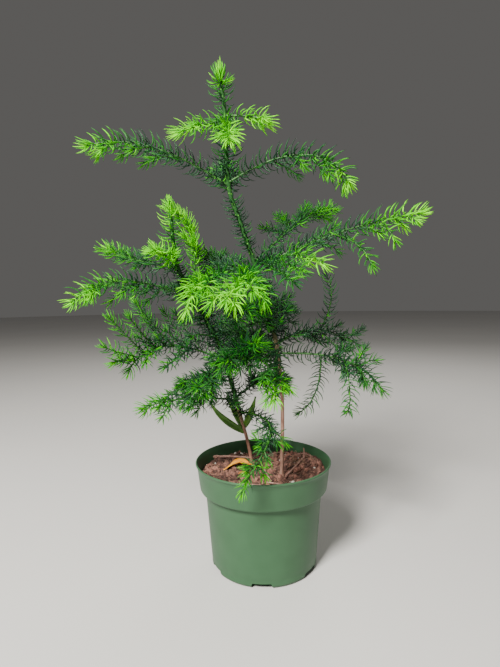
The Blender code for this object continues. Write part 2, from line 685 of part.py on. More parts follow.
def build_mass(branch, path, twigs, neighbours, material, collection):
    """One mass of foliage: a spiny stem with spiny twigs sunk into it."""
    def room(place):
        return neighbours.room(branch.name, place)

    rings, tip = shoot_rings(path, RING_PITCH["branch"], NEEDLE_REACH, SHOOT_CORE, LEAST_CORE, room)
    mass = mesh_object("spray_" + branch.name, loft(rings, tip, 3, SHOOT_CORE), material, collection)
    parts = new_collection("twigs_" + branch.name)
    for index, twig in enumerate(twigs):
        rings, tip = shoot_rings(twig, RING_PITCH["twig"], NEEDLE_REACH, SHOOT_CORE, LEAST_CORE, room)
        mesh_object(f"{branch.name}_twig_{index}", loft(rings, tip, 3, SHOOT_CORE), material, parts)
    if len(parts.objects):
        union_by_collection(mass, parts)
    else:
        bpy.data.collections.remove(parts)
    return mass


def build_stem_needles(name, neighbours, material, collection, cutters):
    """A sleeve of needles round a stretch of stem, bored clear of the stem."""
    stem, low, high = STEM_NEEDLE_SPANS[name]
    tip_z = STEM_PLACES[stem][-1][2]
    path = np.array([stem_point(stem, low + (high - low) * k / 12) for k in range(13)])
    core = stem_radius(stem, low * MM) + SLEEVE_WALL

    def room(place):
        return neighbours.room(name, place, "stem_" + stem)

    reach = LEADER_REACH if high > tip_z else SLEEVE_REACH
    rings, tip = shoot_rings(path, RING_PITCH["stem"], reach, core, core, room)
    if high < tip_z:
        rings = rings[:-1]
        tip = None
    bm = loft(rings, tip, 6, core)
    sleeve = mesh_object(name, bm, material, collection)
    bore_top = min(high + 2, tip_z + 1.2 * GAP / MM)
    bends = [place[2] / MM for place in stem_path(stem) if low - 1 < place[2] / MM < bore_top - 0.5]
    heights = [low - 2, *bends, bore_top]
    line = np.array([stem_point(stem, height) for height in heights])
    radii = [stem_radius(stem, height * MM) + 1.2 * GAP for height in heights]
    bore = as_mesh(limb(name + "_bore", line, radii, material, cutters), cutters)
    cut = sleeve.modifiers.new("bore", "BOOLEAN")
    cut.operation = "DIFFERENCE"
    cut.object = bore
    apply_modifiers(sleeve)
    bpy.data.objects.remove(bore, do_unlink=True)
    return sleeve


def build_seed_leaf(name, material, collection):
    """A strap leaf: widest past its middle, slightly folded along its rib."""
    azimuth, rise, length, droop = SEED_LEAVES[name]
    height = SEED_LEAF_HEIGHT + SEED_LEAF_STAGGER * list(SEED_LEAVES).index(name)
    foot = stem_point("leaning", height)
    path = shoot_path(foot, azimuth, rise, length * MM, droop, 0)
    path = path_between(path, clear_start("leaning", path, 0.2 * SEED_LEAF_WIDTH), path_length(path))
    total = path_length(path)
    bm = bmesh.new()
    loops = []
    for step in range(SEED_LEAF_STEPS):
        along = step / SEED_LEAF_STEPS
        place, ahead = point_along(path, along * total)
        across = unit(np.cross(ahead, (0, -1, 0.2)))
        above = np.cross(across, ahead)
        half = SEED_LEAF_WIDTH / 2 * (0.25 + 0.75 * math.sin(math.pi * min(1, along + 0.08) ** 0.8))
        thick = SEED_LEAF_THICKNESS / 2
        loops.append([bm.verts.new(place + offset) for offset in
                      (half * across, thick * above, -half * across, -thick * above)])
    for lower, upper in zip(loops, loops[1:]):
        for side in range(4):
            after = (side + 1) % 4
            bm.faces.new((lower[side], lower[after], upper[after], upper[side]))
    bm.faces.new(loops[0])
    point = bm.verts.new(path[-1])
    for side in range(4):
        bm.faces.new((loops[-1][side], loops[-1][(side + 1) % 4], point))
    bmesh.ops.triangulate(bm, faces=bm.faces)
    return mesh_object(name, bm, material, collection)


# ---------------------------------------------------------------- the plant
def plan_lines(neighbours):
    """Places every stem, branch and sleeve, then the twigs that have room among them."""
    for stem in STEM_PLACES:
        length = path_length(stem_path(stem))
        for place in path_between(stem_path(stem), 0, length, 2 * MM):
            neighbours.add("stem_" + stem, place[None, :], stem_radius(stem, place[2]))
    paths = {branch.name: branch_path(branch) for branch in BRANCHES}
    for branch in BRANCHES:
        neighbours.add(branch.name, paths[branch.name])
    for name, (azimuth, rise, length, droop) in SEED_LEAVES.items():
        foot = stem_point("leaning", SEED_LEAF_HEIGHT)
        neighbours.add(name, shoot_path(foot, azimuth, rise, length * MM, droop, 0), SEED_LEAF_WIDTH / 2)
    for name, (stem, low, high) in STEM_NEEDLE_SPANS.items():
        line = np.array([stem_point(stem, low), stem_point(stem, high)])
        neighbours.add(name, path_between(line, 0, path_length(line), 2 * MM))
    twigs = {branch.name: [] for branch in BRANCHES}
    for grow in (placed_twigs, sown_twigs):
        for branch in BRANCHES:
            for twig in grow(branch, paths[branch.name]):
                clear = clear_length(twig, branch.name, neighbours)
                if clear > SHORTEST_TWIG:
                    twig = path_between(twig, 0, clear)
                    neighbours.add(branch.name, twig[2:])
                    twigs[branch.name].append(twig)
    return paths, twigs


def build_stems(collection, material):
    for stem in STEM_PLACES:
        path = stem_path(stem)
        radii = [stem_radius(stem, place[2]) for place in path]
        limb("trunk_" + stem, path, radii, material, collection, resolution=2)


def main():
    remove_everything()
    plant = new_collection("norfolk_island_pine")
    cutters = new_collection("cutters")
    materials = {name: make_material(name) for name in COLOURS}
    build_pot(plant, cutters, materials["pot_green"])
    build_mix(plant, materials["potting_mix"])
    build_stems(plant, materials["bark"])
    neighbours = Neighbours()
    paths, twigs = plan_lines(neighbours)
    for branch in BRANCHES:
        path = paths[branch.name]
        if branch.bough:
            end = branch.bough * MM
            line = path_between(path, 0, end, 5 * MM)
            radii = np.linspace(BOUGH_FOOT_RADIUS, BOUGH_TIP_RADIUS, len(line))
            limb("bough_" + branch.name, line, radii, materials["green_stem"], plant)
            path = path_between(path, end + 1.2 * GAP, path_length(path))
        build_mass(branch, path, twigs[branch.name], neighbours, materials[branch.tone], plant)
    for name in STEM_NEEDLE_SPANS:
        tone = "bright" if name.startswith("leader") else "dark"
        build_stem_needles(name, neighbours, materials[tone], plant, cutters)
    for name in SEED_LEAVES:
        build_seed_leaf(name, materials["seed_leaf"], plant)


main()
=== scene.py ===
"""Dresses the Norfolk Island pine: needles, shoots, bark, potting mix and a moulded pot.

The shoots grow here by the same rule and the same table as in the CAD source, with finer steps,
and carry real needles in place of its enlarged ones. Units are metres, in the CAD frame.
"""
import random
from collections import namedtuple
from math import asin, atan2, ceil, cos, degrees, exp, hypot, pi, radians, sin, sqrt, tau

import bmesh
import bpy
import numpy as np
from mathutils import Matrix, Vector, noise


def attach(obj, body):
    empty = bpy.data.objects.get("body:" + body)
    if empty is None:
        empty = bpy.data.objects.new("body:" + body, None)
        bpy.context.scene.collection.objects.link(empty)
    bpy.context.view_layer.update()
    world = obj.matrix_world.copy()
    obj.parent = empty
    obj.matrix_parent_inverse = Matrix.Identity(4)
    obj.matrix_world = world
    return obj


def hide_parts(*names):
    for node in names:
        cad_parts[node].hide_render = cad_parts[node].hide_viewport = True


MM = 0.001
GOLDEN_TURN = pi * (3 - sqrt(5))

# ---------- the plant's table, as in the CAD
POT_HEIGHT = 87.8 * MM
POT_RIM_RADIUS = 57.0 * MM
BAND_FOOT_Z = 65.0 * MM
BAND_FOOT_RADIUS = 53.4 * MM
BODY_TOP_RADIUS = 49.0 * MM
BASE_RADIUS = 44.2 * MM
WALL = 1.2 * MM
LIP = 0.9 * MM
NOTCH_COUNT = 6
FIRST_NOTCH_AT = 265.7
NOTCH_WIDTH = 17.0 * MM
NOTCH_HEIGHT = 4.0 * MM

MIX_TOP_Z = 76.5 * MM
MIX_ROUGHNESS = 1.2 * MM
MIX_MOUND = 4.0 * MM
MIX_MOUND_AT = (33.0 * MM, 6.0 * MM)
MIX_MOUND_RADIUS = 15.0 * MM
MIX_FLAT_RADIUS = 7.0 * MM
MIX_WAVES = (5.0 * MM, 6.0 * MM, 3.4 * MM)

STEM_PLACES = {
    "tall": [(15.0, -11, 76.8), (15.5, -11, 151), (6, -11, 214), (-14.8, -11, 280),
             (-25, -11, 313), (-26.7, -11, 364), (-29.3, -11, 389)],
    "leaning": [(-9.1, 17.7, 76.8), (-13.5, 15.9, 100), (-19.8, 13.9, 125), (-25.9, 11.4, 150),
                (-33.1, 9.5, 177), (-45.0, 7.4, 203), (-59.5, 4.0, 230), (-69.4, -0.1, 255),
                (-72.8, -1.8, 292)],
}
STEM_RADII = {"tall": (1.55 * MM, 1.0 * MM), "leaning": (1.5 * MM, 0.9 * MM)}
ROOT_FLARE = 1.1 * MM
ROOT_FLARE_HEIGHT = 7.0 * MM

# What each branch is made of, in millimetres and degrees: its foot's height, its direction there,
# how far it reaches and turns, the twigs sown on it and how they stand, and its bough's length.
Branch = namedtuple("Branch", "height azimuth rise length droop swing "
                              "twigs twig_length roll lift sag tone bough name stem")
BRANCH_ROWS = {
    "tall_1_left": (363, 209, -20, 42, 2, 0, 2, 10, 0, 0, 10, "bright", 0),
    "tall_1_right": (366, 345, -5, 37, 25, 0, 2, 10, 0, 0, 10, "bright", 0),
    "tall_1_front": (361, 277, -29, 52, 6, -6, 2, 10, 0, 0, 10, "bright", 0),
    "tall_1_back": (368, 95, 8, 38, 30, 0, 2, 10, 0, 0, 10, "bright", 0),
    "tall_2_left": (313, 190, 30, 114, 48, -6, 6, 26, 0, -30, 20, "mid", 24),
    "tall_2_right": (315, 353, 28, 108, 100, -23, 5, 26, 0, -35, 30, "mid", 24),
    "tall_2_back": (309, 96, 36, 74, 30, 6, 4, 18, 0, -5, 15, "mid", 0),
    "tall_3_right": (249, 349, 22, 134, 17, 10, 3, 22, 0, -35, 35, "mid", 26),
    "tall_3_front_right": (251, 316, 11, 74, 43, -16, 1, 16, 0, -15, 25, "bright", 0),
    "tall_3_front": (247, 257, -5, 101, 33, 12, 1, 22, 0, -10, 35, "bright", 20),
    "tall_3_front_left": (249, 223, -7, 95, 42, 45, 1, 20, 0, -10, 35, "bright", 0),
    "tall_3_back_left": (245, 126, 9, 80, -20, 0, 6, 28, 0, 0, 10, "dark", 18),
    "tall_3_back_right": (252, 35, 39, 122, 37, 25, 2, 28, 0, -5, 15, "dark", 22),
    "tall_4_right_mid": (188, 36, 17, 87, 74, -16, 2, 26, -20, -10, 20, "dark", 22),
    "tall_4_right_low": (179, 346, 2, 93, 65, 9, 2, 24, 0, -30, 40, "dark", 20),
    "tall_4_front": (183, 266, -29, 66, -6, -3, 2, 18, 0, -25, 25, "bright", 0),
    "tall_4_front_left": (186, 222, 2, 58, 30, 8, 5, 22, 0, -15, 20, "dark", 0),
    "tall_4_back_left": (181, 128, 18, 66, 24, 2, 5, 26, 0, 0, 15, "dark", 0),
    "tall_4_back": (192, 84, 26, 86, 30, 8, 6, 30, 0, -5, 15, "dark", 0),
    "leaning_1_left_back": (249, 144, 10, 90, -13, 4, 5, 26, 0, 5, 10, "mid", 0),
    "leaning_1_left_front": (250, 247, 28, 36, 27, -3, 3, 14, 0, 0, 10, "mid", 0),
    "leaning_1_upright": (227, 182, 100, 79, 71, -11, 3, 16, 0, 10, 0, "bright", 0),
    "leaning_2_left": (223, 205, 23, 105, 71, 17, 2, 22, 0, -30, 25, "mid", 22),
    "leaning_2_right": (219, 328, 4, 62, 34, 6, 5, 24, 0, -10, 20, "dark", 0),
    "leaning_2_back": (222, 96, 22, 84, 34, 0, 6, 32, 0, -5, 15, "dark", 0),
    "leaning_3_left": (170, 202, 27, 95, 85, 32, 1, 24, -22, 20, 5, "dark", 16),
    "leaning_3_front": (166, 248, 2, 58, 36, -6, 5, 24, 0, -10, 20, "dark", 0),
    "leaning_3_left_low": (157, 152, -16, 54, -22, 3, 4, 22, 0, -5, 10, "dark", 0),
    "leaning_3_right": (173, 292, 18, 78, 9, 0, 3, 20, 0, -10, 20, "mid", 16),
    "leaning_3_back": (167, 62, 16, 84, 30, 0, 6, 30, 0, -5, 20, "dark", 0),
    "leaning_4_left": (136, 216, 12, 86, 28, -13, 2, 22, -10, -8, 15, "dark", 0),
    "leaning_4_front": (125, 306, 7, 121, 82, -136, 2, 18, 0, -15, 20, "dark", 18),
    "leaning_4_back": (138, 48, 20, 66, 30, 0, 5, 26, 0, -5, 20, "dark", 0),
}
BRANCHES = [Branch(*row, name, name.split("_")[0]) for name, row in BRANCH_ROWS.items()]

# Twigs placed one by one, because they stand out in the front view: the distance along the
# branch, azimuth, rise, length, droop and swing of each.
TWIGS = {
    "tall_3_right": (
        (94, 315, -17, 28, 62, 1), (66, 305, -18, 48, 54, 3), (120, 309, -9, 12, 49, 0),
        (30, 305, 9, 50, -19, 1)),
    "tall_3_front_right": (
        (6, 286, -11, 75, 8, 0), (13, 292, -8, 61, 10, 1)),
    "tall_3_front": (
        (60, 233, -21, 36, 20, 3), (78, 256, -14, 27, 13, 1), (34, 287, -13, 50, 44, -6),
        (50, 281, -13, 38, 12, -2)),
    "tall_3_front_left": (
        (56, 261, -6, 46, 31, 3), (49, 239, -9, 29, 18, 1), (33, 257, -9, 54, 15, 1)),
    "tall_3_back_right": (
        (50, 102, 26, 47, 13, 1), (42, 114, 13, 47, -2, 1), (62, 77, 26, 62, 13, 0),
        (77, 40, 3, 27, 21, 0)),
    "tall_4_right_mid": (
        (49, 296, 48, 54, -98, 10), (69, 46, -7, 42, -35, -1), (47, 315, -36, 26, -8, 0),
        (33, 47, -30, 34, -23, -1)),
    "tall_4_right_low": (
        (35, 209, -87, 53, -75, 5), (53, 266, -8, 60, 154, 6), (62, 59, 18, 30, -9, 0),
        (66, 18, 31, 17, 47, -1), (59, 55, -28, 28, 25, 1), (45, 55, 11, 32, 7, -1)),
    "tall_4_front": (
        (9, 248, 7, 39, 20, 0), (18, 254, 1, 51, 28, 2), (34, 253, -9, 32, 10, 1),
        (29, 290, -19, 18, 37, -2)),
    "leaning_2_left": (
        (49, 204, -32, 27, 8, 0), (28, 214, -34, 19, 13, 0), (35, 135, -13, 36, 2, 0),
        (76, 252, -23, 20, 31, 1)),
    "leaning_3_left": (
        (49, 203, 47, 44, -15, 0), (63, 227, 42, 36, -12, 1), (75, 226, 46, 41, 2, 1),
        (35, 160, 49, 38, -12, 0), (22, 140, 42, 48, -3, 1), (56, 125, 29, 69, -6, 3),
        (80, 236, 16, 35, -8, -1), (84, 227, 13, 21, 37, 0), (34, 255, -10, 50, 0, -2)),
    "leaning_3_right": (
        (35, 287, -10, 25, -2, 0), (30, 334, 61, 13, 1, 0)),
    "leaning_4_left": (
        (61, 257, -25, 22, -4, -1), (8, 285, 10, 29, 21, -1), (32, 138, -26, 26, 8, 0),
        (46, 146, 11, 23, 28, 0), (24, 161, 45, 22, 66, 1)),
    "leaning_4_front": (
        (79, 142, 4, 12, -30, -1), (53, 126, -30, 18, 1, 0), (98, 54, -37, 16, 29, 0)),
}
OFF_AXIS = (0.31, 0.17, 0.93)
BEND_POWER = 2.0
FIRST_TWIG = 0.30
LAST_TWIG = 0.93
TWIG_SPREAD = 50.0
TWIG_SPREAD_SCATTER = 6
TWIG_CURL = 14.0
TWIG_TAPER = 0.55
# Needles on the stems: their node and its stretch. The last two have none in the CAD.
STEM_NEEDLES = (
    ("stem_needles_tall_low", 198, 238),
    ("stem_needles_tall_mid", 262, 303),
    ("stem_needles_tall_high", 322, 354),
    ("leader_tall", 373, 410.5),
    ("stem_needles_leaning", 178, 219),
    ("leader_leaning", 262, 311),
    ("stem_needles_leaning", 122, 174),
    ("stem_needles_leaning", 223, 260),
)
SEED_LEAVES = {
    "seed_leaf_left": (176, 30, 43, -38),
    "seed_leaf_upper": (155, 60, 33, 8),
    "seed_leaf_right": (325, 62, 32, -14),
}
SEED_LEAF_HEIGHT = 106.0
SEED_LEAF_STAGGER = 2.2
SEED_LEAF_WIDTH = 6.0 * MM

# ---------- finer detail, only here
STEP = 1.2 * MM                   # spacing of the points along a shoot
# Tones of needles, darkest first: the colour, its sheen and the finish that it belongs to. The
# deepest tone is partly painted shade, for the shaded inside of the crown.
TONES = {
    "deep": ((0.0025, 0.030, 0.011), 0.45, "needles_dark"),
    "dark": ((0.005, 0.064, 0.016), 0.45, "needles_dark"),
    "mid": ((0.013, 0.150, 0.009), 0.35, "needles_mid"),
    "fresh": ((0.050, 0.360, 0.000), 0.15, "needles_mid"),
    "lime": ((0.125, 0.620, 0.000), 0.0, "needles_bright"),
    "tip": ((0.235, 0.840, 0.000), 0.0, "needles_bright"),
}
# Where on the scale of tones a shoot starts and ends, and how late it turns. Needles toward a
# shoot's foot are darker of their own; the low spans of the dark branches are also painted shade,
# for branches that stand in shade.
TONE_SPAN = {"bright": (0.8, 5.1, 1.4), "mid": (0.8, 4.4, 3.6), "dark": (0.2, 2.2, 2.2)}
TONE_SPAN_OF = {
    **dict.fromkeys(("tall_1_left", "tall_1_right", "tall_1_front"), (2.0, 5.0, 0.9)),
    "tall_1_back": (1.6, 3.8, 1.0),
    "tall_2_back": (0.8, 2.6, 1.5),
    "tall_3_back_right": (0.7, 2.8, 1.4),
    "tall_4_front": (0.5, 4.6, 2.0),
    # Painted shade: the lower right branches are kept dark because they stand in shade.
    "tall_4_right_mid": (0.2, 1.5, 1.7),
    "tall_4_right_low": (0.2, 2.4, 2.4),
    "leaning_1_upright": (2.2, 4.6, 0.9),
    "leaning_1_left_front": (2.0, 4.6, 1.0),
    "leaning_2_left": (0.6, 4.8, 2.2),
    "tall_3_right": (0.6, 4.8, 2.4),
    "leaning_3_left": (0.3, 3.0, 2.6),
    "leaning_3_right": (0.4, 2.7, 2.0),
    "leaning_4_left": (0.4, 3.4, 2.6),
    "leaning_4_front": (0.2, 3.4, 3.2),
}
# How far a twig's tip turns toward its branch's last tone: at the stem, and more along it.
TWIG_TIP_TONE = {"bright": (0.2, 0.8), "mid": (0.2, 0.5), "dark": (0.4, 0.6)}
TONE_SCATTER = 0.65
NEEDLES_PER_PIECE = 5600

# Short twigs from the stems: stem, stretch of it, how many, and their length in millimetres.
STEM_TWIGS = (("leaning", 164, 226, 18, 27), ("tall", 184, 236, 12, 22))

# Fill twigs stand between the others, shorter and turned any way, to thicken the foliage: how
# many, and their length in millimetres.
FILL = {"bright": (1, 12), "mid": (2, 12), "dark": (11, 28)}
NO_FILL = ("tall_2_left", "tall_2_right", "tall_3_right", "tall_3_front", "tall_3_front_left",
           "tall_3_front_right")
FILL_OF = {
    **dict.fromkeys(NO_FILL, (0, 0)),
    "tall_3_back_right": (3, 18),
    "tall_4_right_low": (4, 16),
    "tall_4_right_mid": (3, 15),
    "tall_4_front_left": (14, 24),
    "leaning_1_upright": (7, 13),
    "leaning_2_left": (3, 14),
    "leaning_3_left": (6, 20),
    "leaning_3_left_low": (8, 18),
    "leaning_4_left": (6, 15),
    "leaning_4_front": (7, 12),
}
FILL_ROLL = 55.0

# How needles stand on a shoot: four sizes in millimetres, the angle and curve in degrees, how far
# they lift, how round the shoot is from the side, and how short its brush at the tip is.
Style = namedtuple("Style", "spacing length half_width brush angle curve lift flat brush_scale")
STYLE_ROWS = {
    "bright": (1.30, 13.2, 0.56, 9, 64, 56, 0.10, 0.95, 0.85),
    "mid": (0.88, 13.4, 0.68, 9, 74, 60, 0.34, 0.95, 0.72),
    "dark": (0.86, 11.2, 0.54, 9, 74, 56, 0.28, 0.90, 0.70),
    "bright_twig": (1.25, 12.4, 0.54, 9, 60, 50, 0.06, 0.90, 0.85),
    "mid_twig": (1.10, 10.2, 0.56, 8, 62, 48, 0.22, 0.85, 0.74),
    "dark_twig": (0.90, 10.0, 0.50, 8, 66, 50, 0.22, 0.80, 0.70),
    "front": (0.85, 9.6, 0.42, 8, 66, 52, 0.14, 0.90, 0.74),
    "stem": (0.50, 10.8, 0.60, 1, 88, 50, 0.12, 1.00, 0.90),
    "stem_high": (0.50, 15.5, 0.72, 1, 84, 64, 0.10, 1.00, 0.95),
    "leader": (0.62, 12.8, 0.58, 1, 84, 50, 0.08, 1.00, 0.90),
    "rosette": (0.10, 15.5, 0.60, 0.1, 92, 34, 0.14, 1.00, 1.00),
    "spike": (0.55, 8.5, 0.50, 6, 34, 36, 0.00, 1.00, 0.55),
    "cone": (0.16, 12.5, 0.60, 1, 40, 52, 0.00, 1.00, 0.90),
}
STYLES = {name: Style(*(size * MM for size in row[:4]), *row[4:])
          for name, row in STYLE_ROWS.items()}
# Branches whose main shoot and twigs wear other styles than their tone's.
STYLE_OF = {"leaning_4_front": ("front", "front"), "tall_4_front": ("bright", "front")}
STEM_STYLE = ("stem", (0.5, 0.9, 1.0))
STEM_STYLE_OF = {"stem_needles_tall_high": ("stem_high", (0.6, 1.2, 1.0))}
# The parts of a leader: how far below its tip each ends, in millimetres, its style and tones.
LEADER_PARTS = {
    "tall": ((20, "leader", (1.4, 2.8, 1.2)), (17.5, "rosette", (3.6, 4.0, 1.0)),
             (12.5, "cone", (2.6, 3.8, 1.0))),
    "leaning": ((18, "leader", (2.0, 4.0, 1.2)), (7, "spike", (3.0, 4.8, 1.0))),
}
BRANCH_RADII = (0.92 * MM, 0.50 * MM)
TWIG_RADII = (0.60 * MM, 0.38 * MM)
FIRST_NEEDLE = 2.2 * MM           # from a branch's foot

# How needles vary, as shares of their own measures, or in degrees.
NEEDLE_WIDTHS = (0.85, 1.0, 0.92, 0.64)
NEEDLE_DEPTH = 0.75
BRUSH_START = 0.45
BRUSH_SPACING = 0.50 * MM
BRUSH_PAST_TIP = 0.4 * MM
PLACE_SCATTER = 0.35
LENGTH_SCATTER = (0.82, 1.12)
FOOT_LENGTH = 0.75
FOOT_REACH = 6 * MM
FOOT_ANGLE = 1.08
ANGLE_LOSS = 0.2
ANGLE_SCATTER = 9
TIP_ANGLE_LOSS = 0.66
FOOT_CURVE = 0.3
CURVE_SCATTER = (0.75, 1.25)
TIP_CURVE_LOSS = 0.75
WIDTH_SCATTER = (0.85, 1.15)
TIP_WIDTH_LOSS = 0.35

# Between these heights a stem turns from brown to green; leaf bases thicken its green part.
GREEN_FROM = {"tall": (0.165, 0.205), "leaning": (0.108, 0.140)}
LEAF_BASES = 0.6 * MM
LEAF_BASES_WITHIN = 30 * MM
BARK_RELIEF = 0.10 * MM
BARK_GRAIN = (2.2, 2.6 * MM)      # turns of the relief round a stem, and its size along it

# The pot's roundings.
LIP_ROLL = 0.95 * MM
BEAD = 1.7 * MM
STEP_FILLET = 1.3 * MM
BASE_FILLET = 2.9 * MM

GROUND_LUMP = 7.0 * MM
GROUND_RELIEF = 1.8 * MM
GROUND_FLOOR_Z = 68 * MM
# Low mounds that the CAD leaves out: centre, radius and height in millimetres.
SOFT_MOUNDS = ((40, 12, 17, 2.2), (43, 27, 12, 2.6), (25, 38, 10, 2.4), (-40, -8, 12, 1.4))
# Crumbs: their colour, count, least share of the largest size, and that size in millimetres.
CRUMBS = (("dark", 900, 0.35, 1.8), ("brown", 700, 0.35, 1.9), ("red", 420, 0.4, 2.0),
          ("tan", 150, 0.35, 1.5))
CLODS = (("brown", 130), ("red", 90), ("dark", 110))
# Grains of perlite that show: place and size in millimetres.
PERLITE = ((23, -25, 2.0), (27, -24.5, 1.7), (20.5, -26.5, 1.3), (30, -25.5, 1.1),
           (-35, -13, 1.3), (-31, -18, 1.1), (-25, 42, 1.6), (-19, 43, 1.5), (-33, 33, 1.2),
           (12, 34, 0.9), (-42, 19, 0.9))
# Sticks that lie on the mix: places in millimetres and a radius, thicker end first.
STICKS = (
    ((-45, 31, 79.5), (-27, 28.5, 80.2), (-8, 25, 79.6), 1.35),
    ((5.5, -27, 78.8), (1.5, -6, 79.4), (-2, 13.5, 80.0), 0.75),
    ((17.5, -18, 78.6), (26, -4, 81.2), (35.5, 11.5, 84.0), 0.85),
    ((36, 13, 82.0), (36.3, 12.5, 88.0), (36.0, 12.6, 92.5), 0.8),
    ((2, -30, 79.0), (9, -33, 79.4), (15, -36, 79.0), 0.7),
    ((-20, -30, 78.5), (-10, -34, 79.2), (-1, -35, 78.8), 0.6),
    ((6, 32, 79.0), (14, 38, 80.0), (24, 41, 79.2), 0.8),
    ((30, 30, 80.5), (38, 27, 82.5), (45, 22, 81.0), 0.7),
)
# Middle lines of the fallen leaf and of a scrap of one, in millimetres.
FALLEN_LEAF = ((-33.5, 0, 78.4), (-26, 10, 79.2), (-20, 16, 79.8), (-12.5, 9.5, 79.4),
               (-1, 6, 78.8))
FALLEN_SCRAP = ((-21, -11, 79.3), (-16, -9, 80.0), (-10.5, -8.5, 79.2))

# Materials: darker and lighter shade, scale, roughness, strength and scale of the fine relief,
# sheen, and stretch.
FINISHES = {
    "axis": ((0.009, 0.070, 0.006), (0.034, 0.180, 0.010), 500, 0.5, 0.3, 900),
    "pot": ((0.039, 0.104, 0.048), (0.046, 0.118, 0.056), 60, 0.48, 0.05, 1500, 0.3),
    # The bare mix is dark partly of its own, as dark peat, and partly as painted shade for the gaps
    # between the clods.
    "mix": ((0.024, 0.010, 0.007), (0.125, 0.055, 0.040), 420, 0.95, 0.8, 900),
    "mix_dark": ((0.030, 0.013, 0.010), (0.105, 0.048, 0.035), 500, 0.95, 0.6, 900),
    "mix_brown": ((0.095, 0.042, 0.031), (0.26, 0.125, 0.090), 500, 0.95, 0.6, 900),
    "mix_red": ((0.125, 0.050, 0.036), (0.34, 0.155, 0.112), 500, 0.95, 0.6, 900),
    "mix_tan": ((0.20, 0.115, 0.070), (0.42, 0.27, 0.18), 500, 0.9),
    "perlite": ((0.52, 0.47, 0.40), (0.82, 0.79, 0.72), 700, 0.8),
    "stick": ((0.20, 0.095, 0.075), (0.42, 0.25, 0.20), 300, 0.85, 0.6, 900),
    "seed_leaf": ((0.035, 0.125, 0.006), (0.085, 0.230, 0.010), 130, 0.45, 0.2, 700),
    "fallen_leaf": ((0.86, 0.25, 0.004), (1.0, 0.50, 0.02), 130, 0.5),
    "fallen_scrap": ((0.34, 0.075, 0.010), (0.62, 0.21, 0.03), 200, 0.6),
    "floor": ((0.66, 0.65, 0.63), (0.68, 0.67, 0.65), 3, 0.9),
}
BARK = ((0.21, 0.105, 0.075), (0.40, 0.235, 0.175), 420, 0.75, 0.5, 900, 0.3, (1, 1, 0.3))
LEAF_MARKS = ((0.16, (0.10, 0.36, 0.03)), (0.30, (0.006, 0.060, 0.005)))
TONE_SPREAD = 0.22
BUMP_DEPTH = 0.4 * MM
NODE_SPACING = 200

# Lights: place, size and power.
LIGHTS = {
    "key": ((-0.50, -0.88, 1.05), 0.34, 50.0),
    "fill": ((1.1, -0.7, 0.5), 0.9, 0.5),
    "back": ((0.35, 0.9, 1.1), 0.7, 5.0),
}
LIGHT_COLOUR = (1.0, 0.97, 0.91)
SKY_COLOUR = (1.0, 0.97, 0.93, 1)
SKY_STRENGTH = 0.11
# The camera that was fitted to the pot's ellipses in the photograph.
CAMERA_PLACE = (-0.00965, -0.3946, 0.2265)
CAMERA_PITCH = radians(4.62)
CAMERA_ROLL = radians(-0.79)
CAMERA_LENS = 25.7
SENSOR_WIDTH = 36.0


# ---------- growth rule, as in the CAD
def unit(vector):
    return vector / np.linalg.norm(vector)


def heading(azimuth, rise):
    """The unit vector that points along an azimuth and a rise, in degrees."""
    turn, tilt = radians(azimuth), radians(rise)
    return np.array([cos(tilt) * cos(turn), cos(tilt) * sin(turn), sin(tilt)])


def smooth_curve(places, steps):
    """Points of a Catmull-Rom curve through the places, `steps` for each stretch."""
    knots = np.array(places, dtype=float)
    knots = np.vstack([2 * knots[0] - knots[1], knots, 2 * knots[-1] - knots[-2]])
    points = []
    for before, start, end, after in zip(knots, knots[1:], knots[2:], knots[3:]):
        for step in range(steps):
            t = step / steps
            points.append(0.5 * (2 * start + (end - before) * t
                                 + (2 * before - 5 * start + 4 * end - after) * t ** 2
                                 + (3 * start - before - 3 * end + after) * t ** 3))
    points.append(knots[-2])
    return np.array(points)


STEM_PATHS = {stem: smooth_curve(places, 24) * MM for stem, places in STEM_PLACES.items()}


def stem_radius(stem, z):
    """A stem's radius at a height: an even taper, and a flare at its foot."""
    foot_z, tip_z = STEM_PLACES[stem][0][2] * MM, STEM_PLACES[stem][-1][2] * MM
    foot, tip = STEM_RADII[stem]
    along = (z - foot_z) / (tip_z - foot_z)
    flare = ROOT_FLARE * max(0.0, 1 - (z - foot_z) / ROOT_FLARE_HEIGHT) ** 2
    return foot + (tip - foot) * along + flare


def stem_point(stem, height):
    """The place on a stem's middle line at a height in millimetres, also past its tip."""
    path = STEM_PATHS[stem]
    z = height * MM
    if z > path[-1][2]:
        ahead = unit(path[-1] - path[-2])
        return path[-1] + ahead * (z - path[-1][2]) / ahead[2]
    return np.array([np.interp(z, path[:, 2], path[:, axis]) for axis in (0, 1)] + [z])


def shoot_path(foot, azimuth, rise, length, droop, swing, step=STEP):
    """Points of a shoot whose direction turns by droop and swing, mostly near its tip."""
    count = max(4, round(length / step))
    points = [np.array(foot)]
    for index in range(count):
        turned = ((index + 0.5) / count) ** BEND_POWER
        direction = heading(azimuth + swing * turned, rise - droop * turned)
        points.append(points[-1] + direction * length / count)
    return np.array(points)


def distances_along(path):
    lengths = np.linalg.norm(np.diff(path, axis=0), axis=1)
    return np.concatenate([[0], np.cumsum(lengths)])


def values_along(values, ends, wanted):
    """Rows of values, given at some distances, at the wanted distances."""
    return np.column_stack([np.interp(wanted, ends, values[:, axis]) for axis in range(3)])


def point_along(path, distance):
    """Place and direction at a distance along a path."""
    ends = distances_along(path)
    index = min(int(np.searchsorted(ends, distance, side="right")) - 1, len(path) - 2)
    return values_along(path, ends, [distance])[0], unit(path[index + 1] - path[index])


def path_between(path, start, end, step=STEP):
    """The stretch of a path between two distances along it."""
    wanted = np.linspace(start, end, max(3, round((end - start) / step)) + 1)
    return values_along(path, distances_along(path), wanted)


def whole_path(branch):
    """A branch's middle line, from its stem's middle line to its tip."""
    return shoot_path(stem_point(branch.stem, branch.height), branch.azimuth, branch.rise,
                      branch.length * MM, branch.droop, branch.swing)


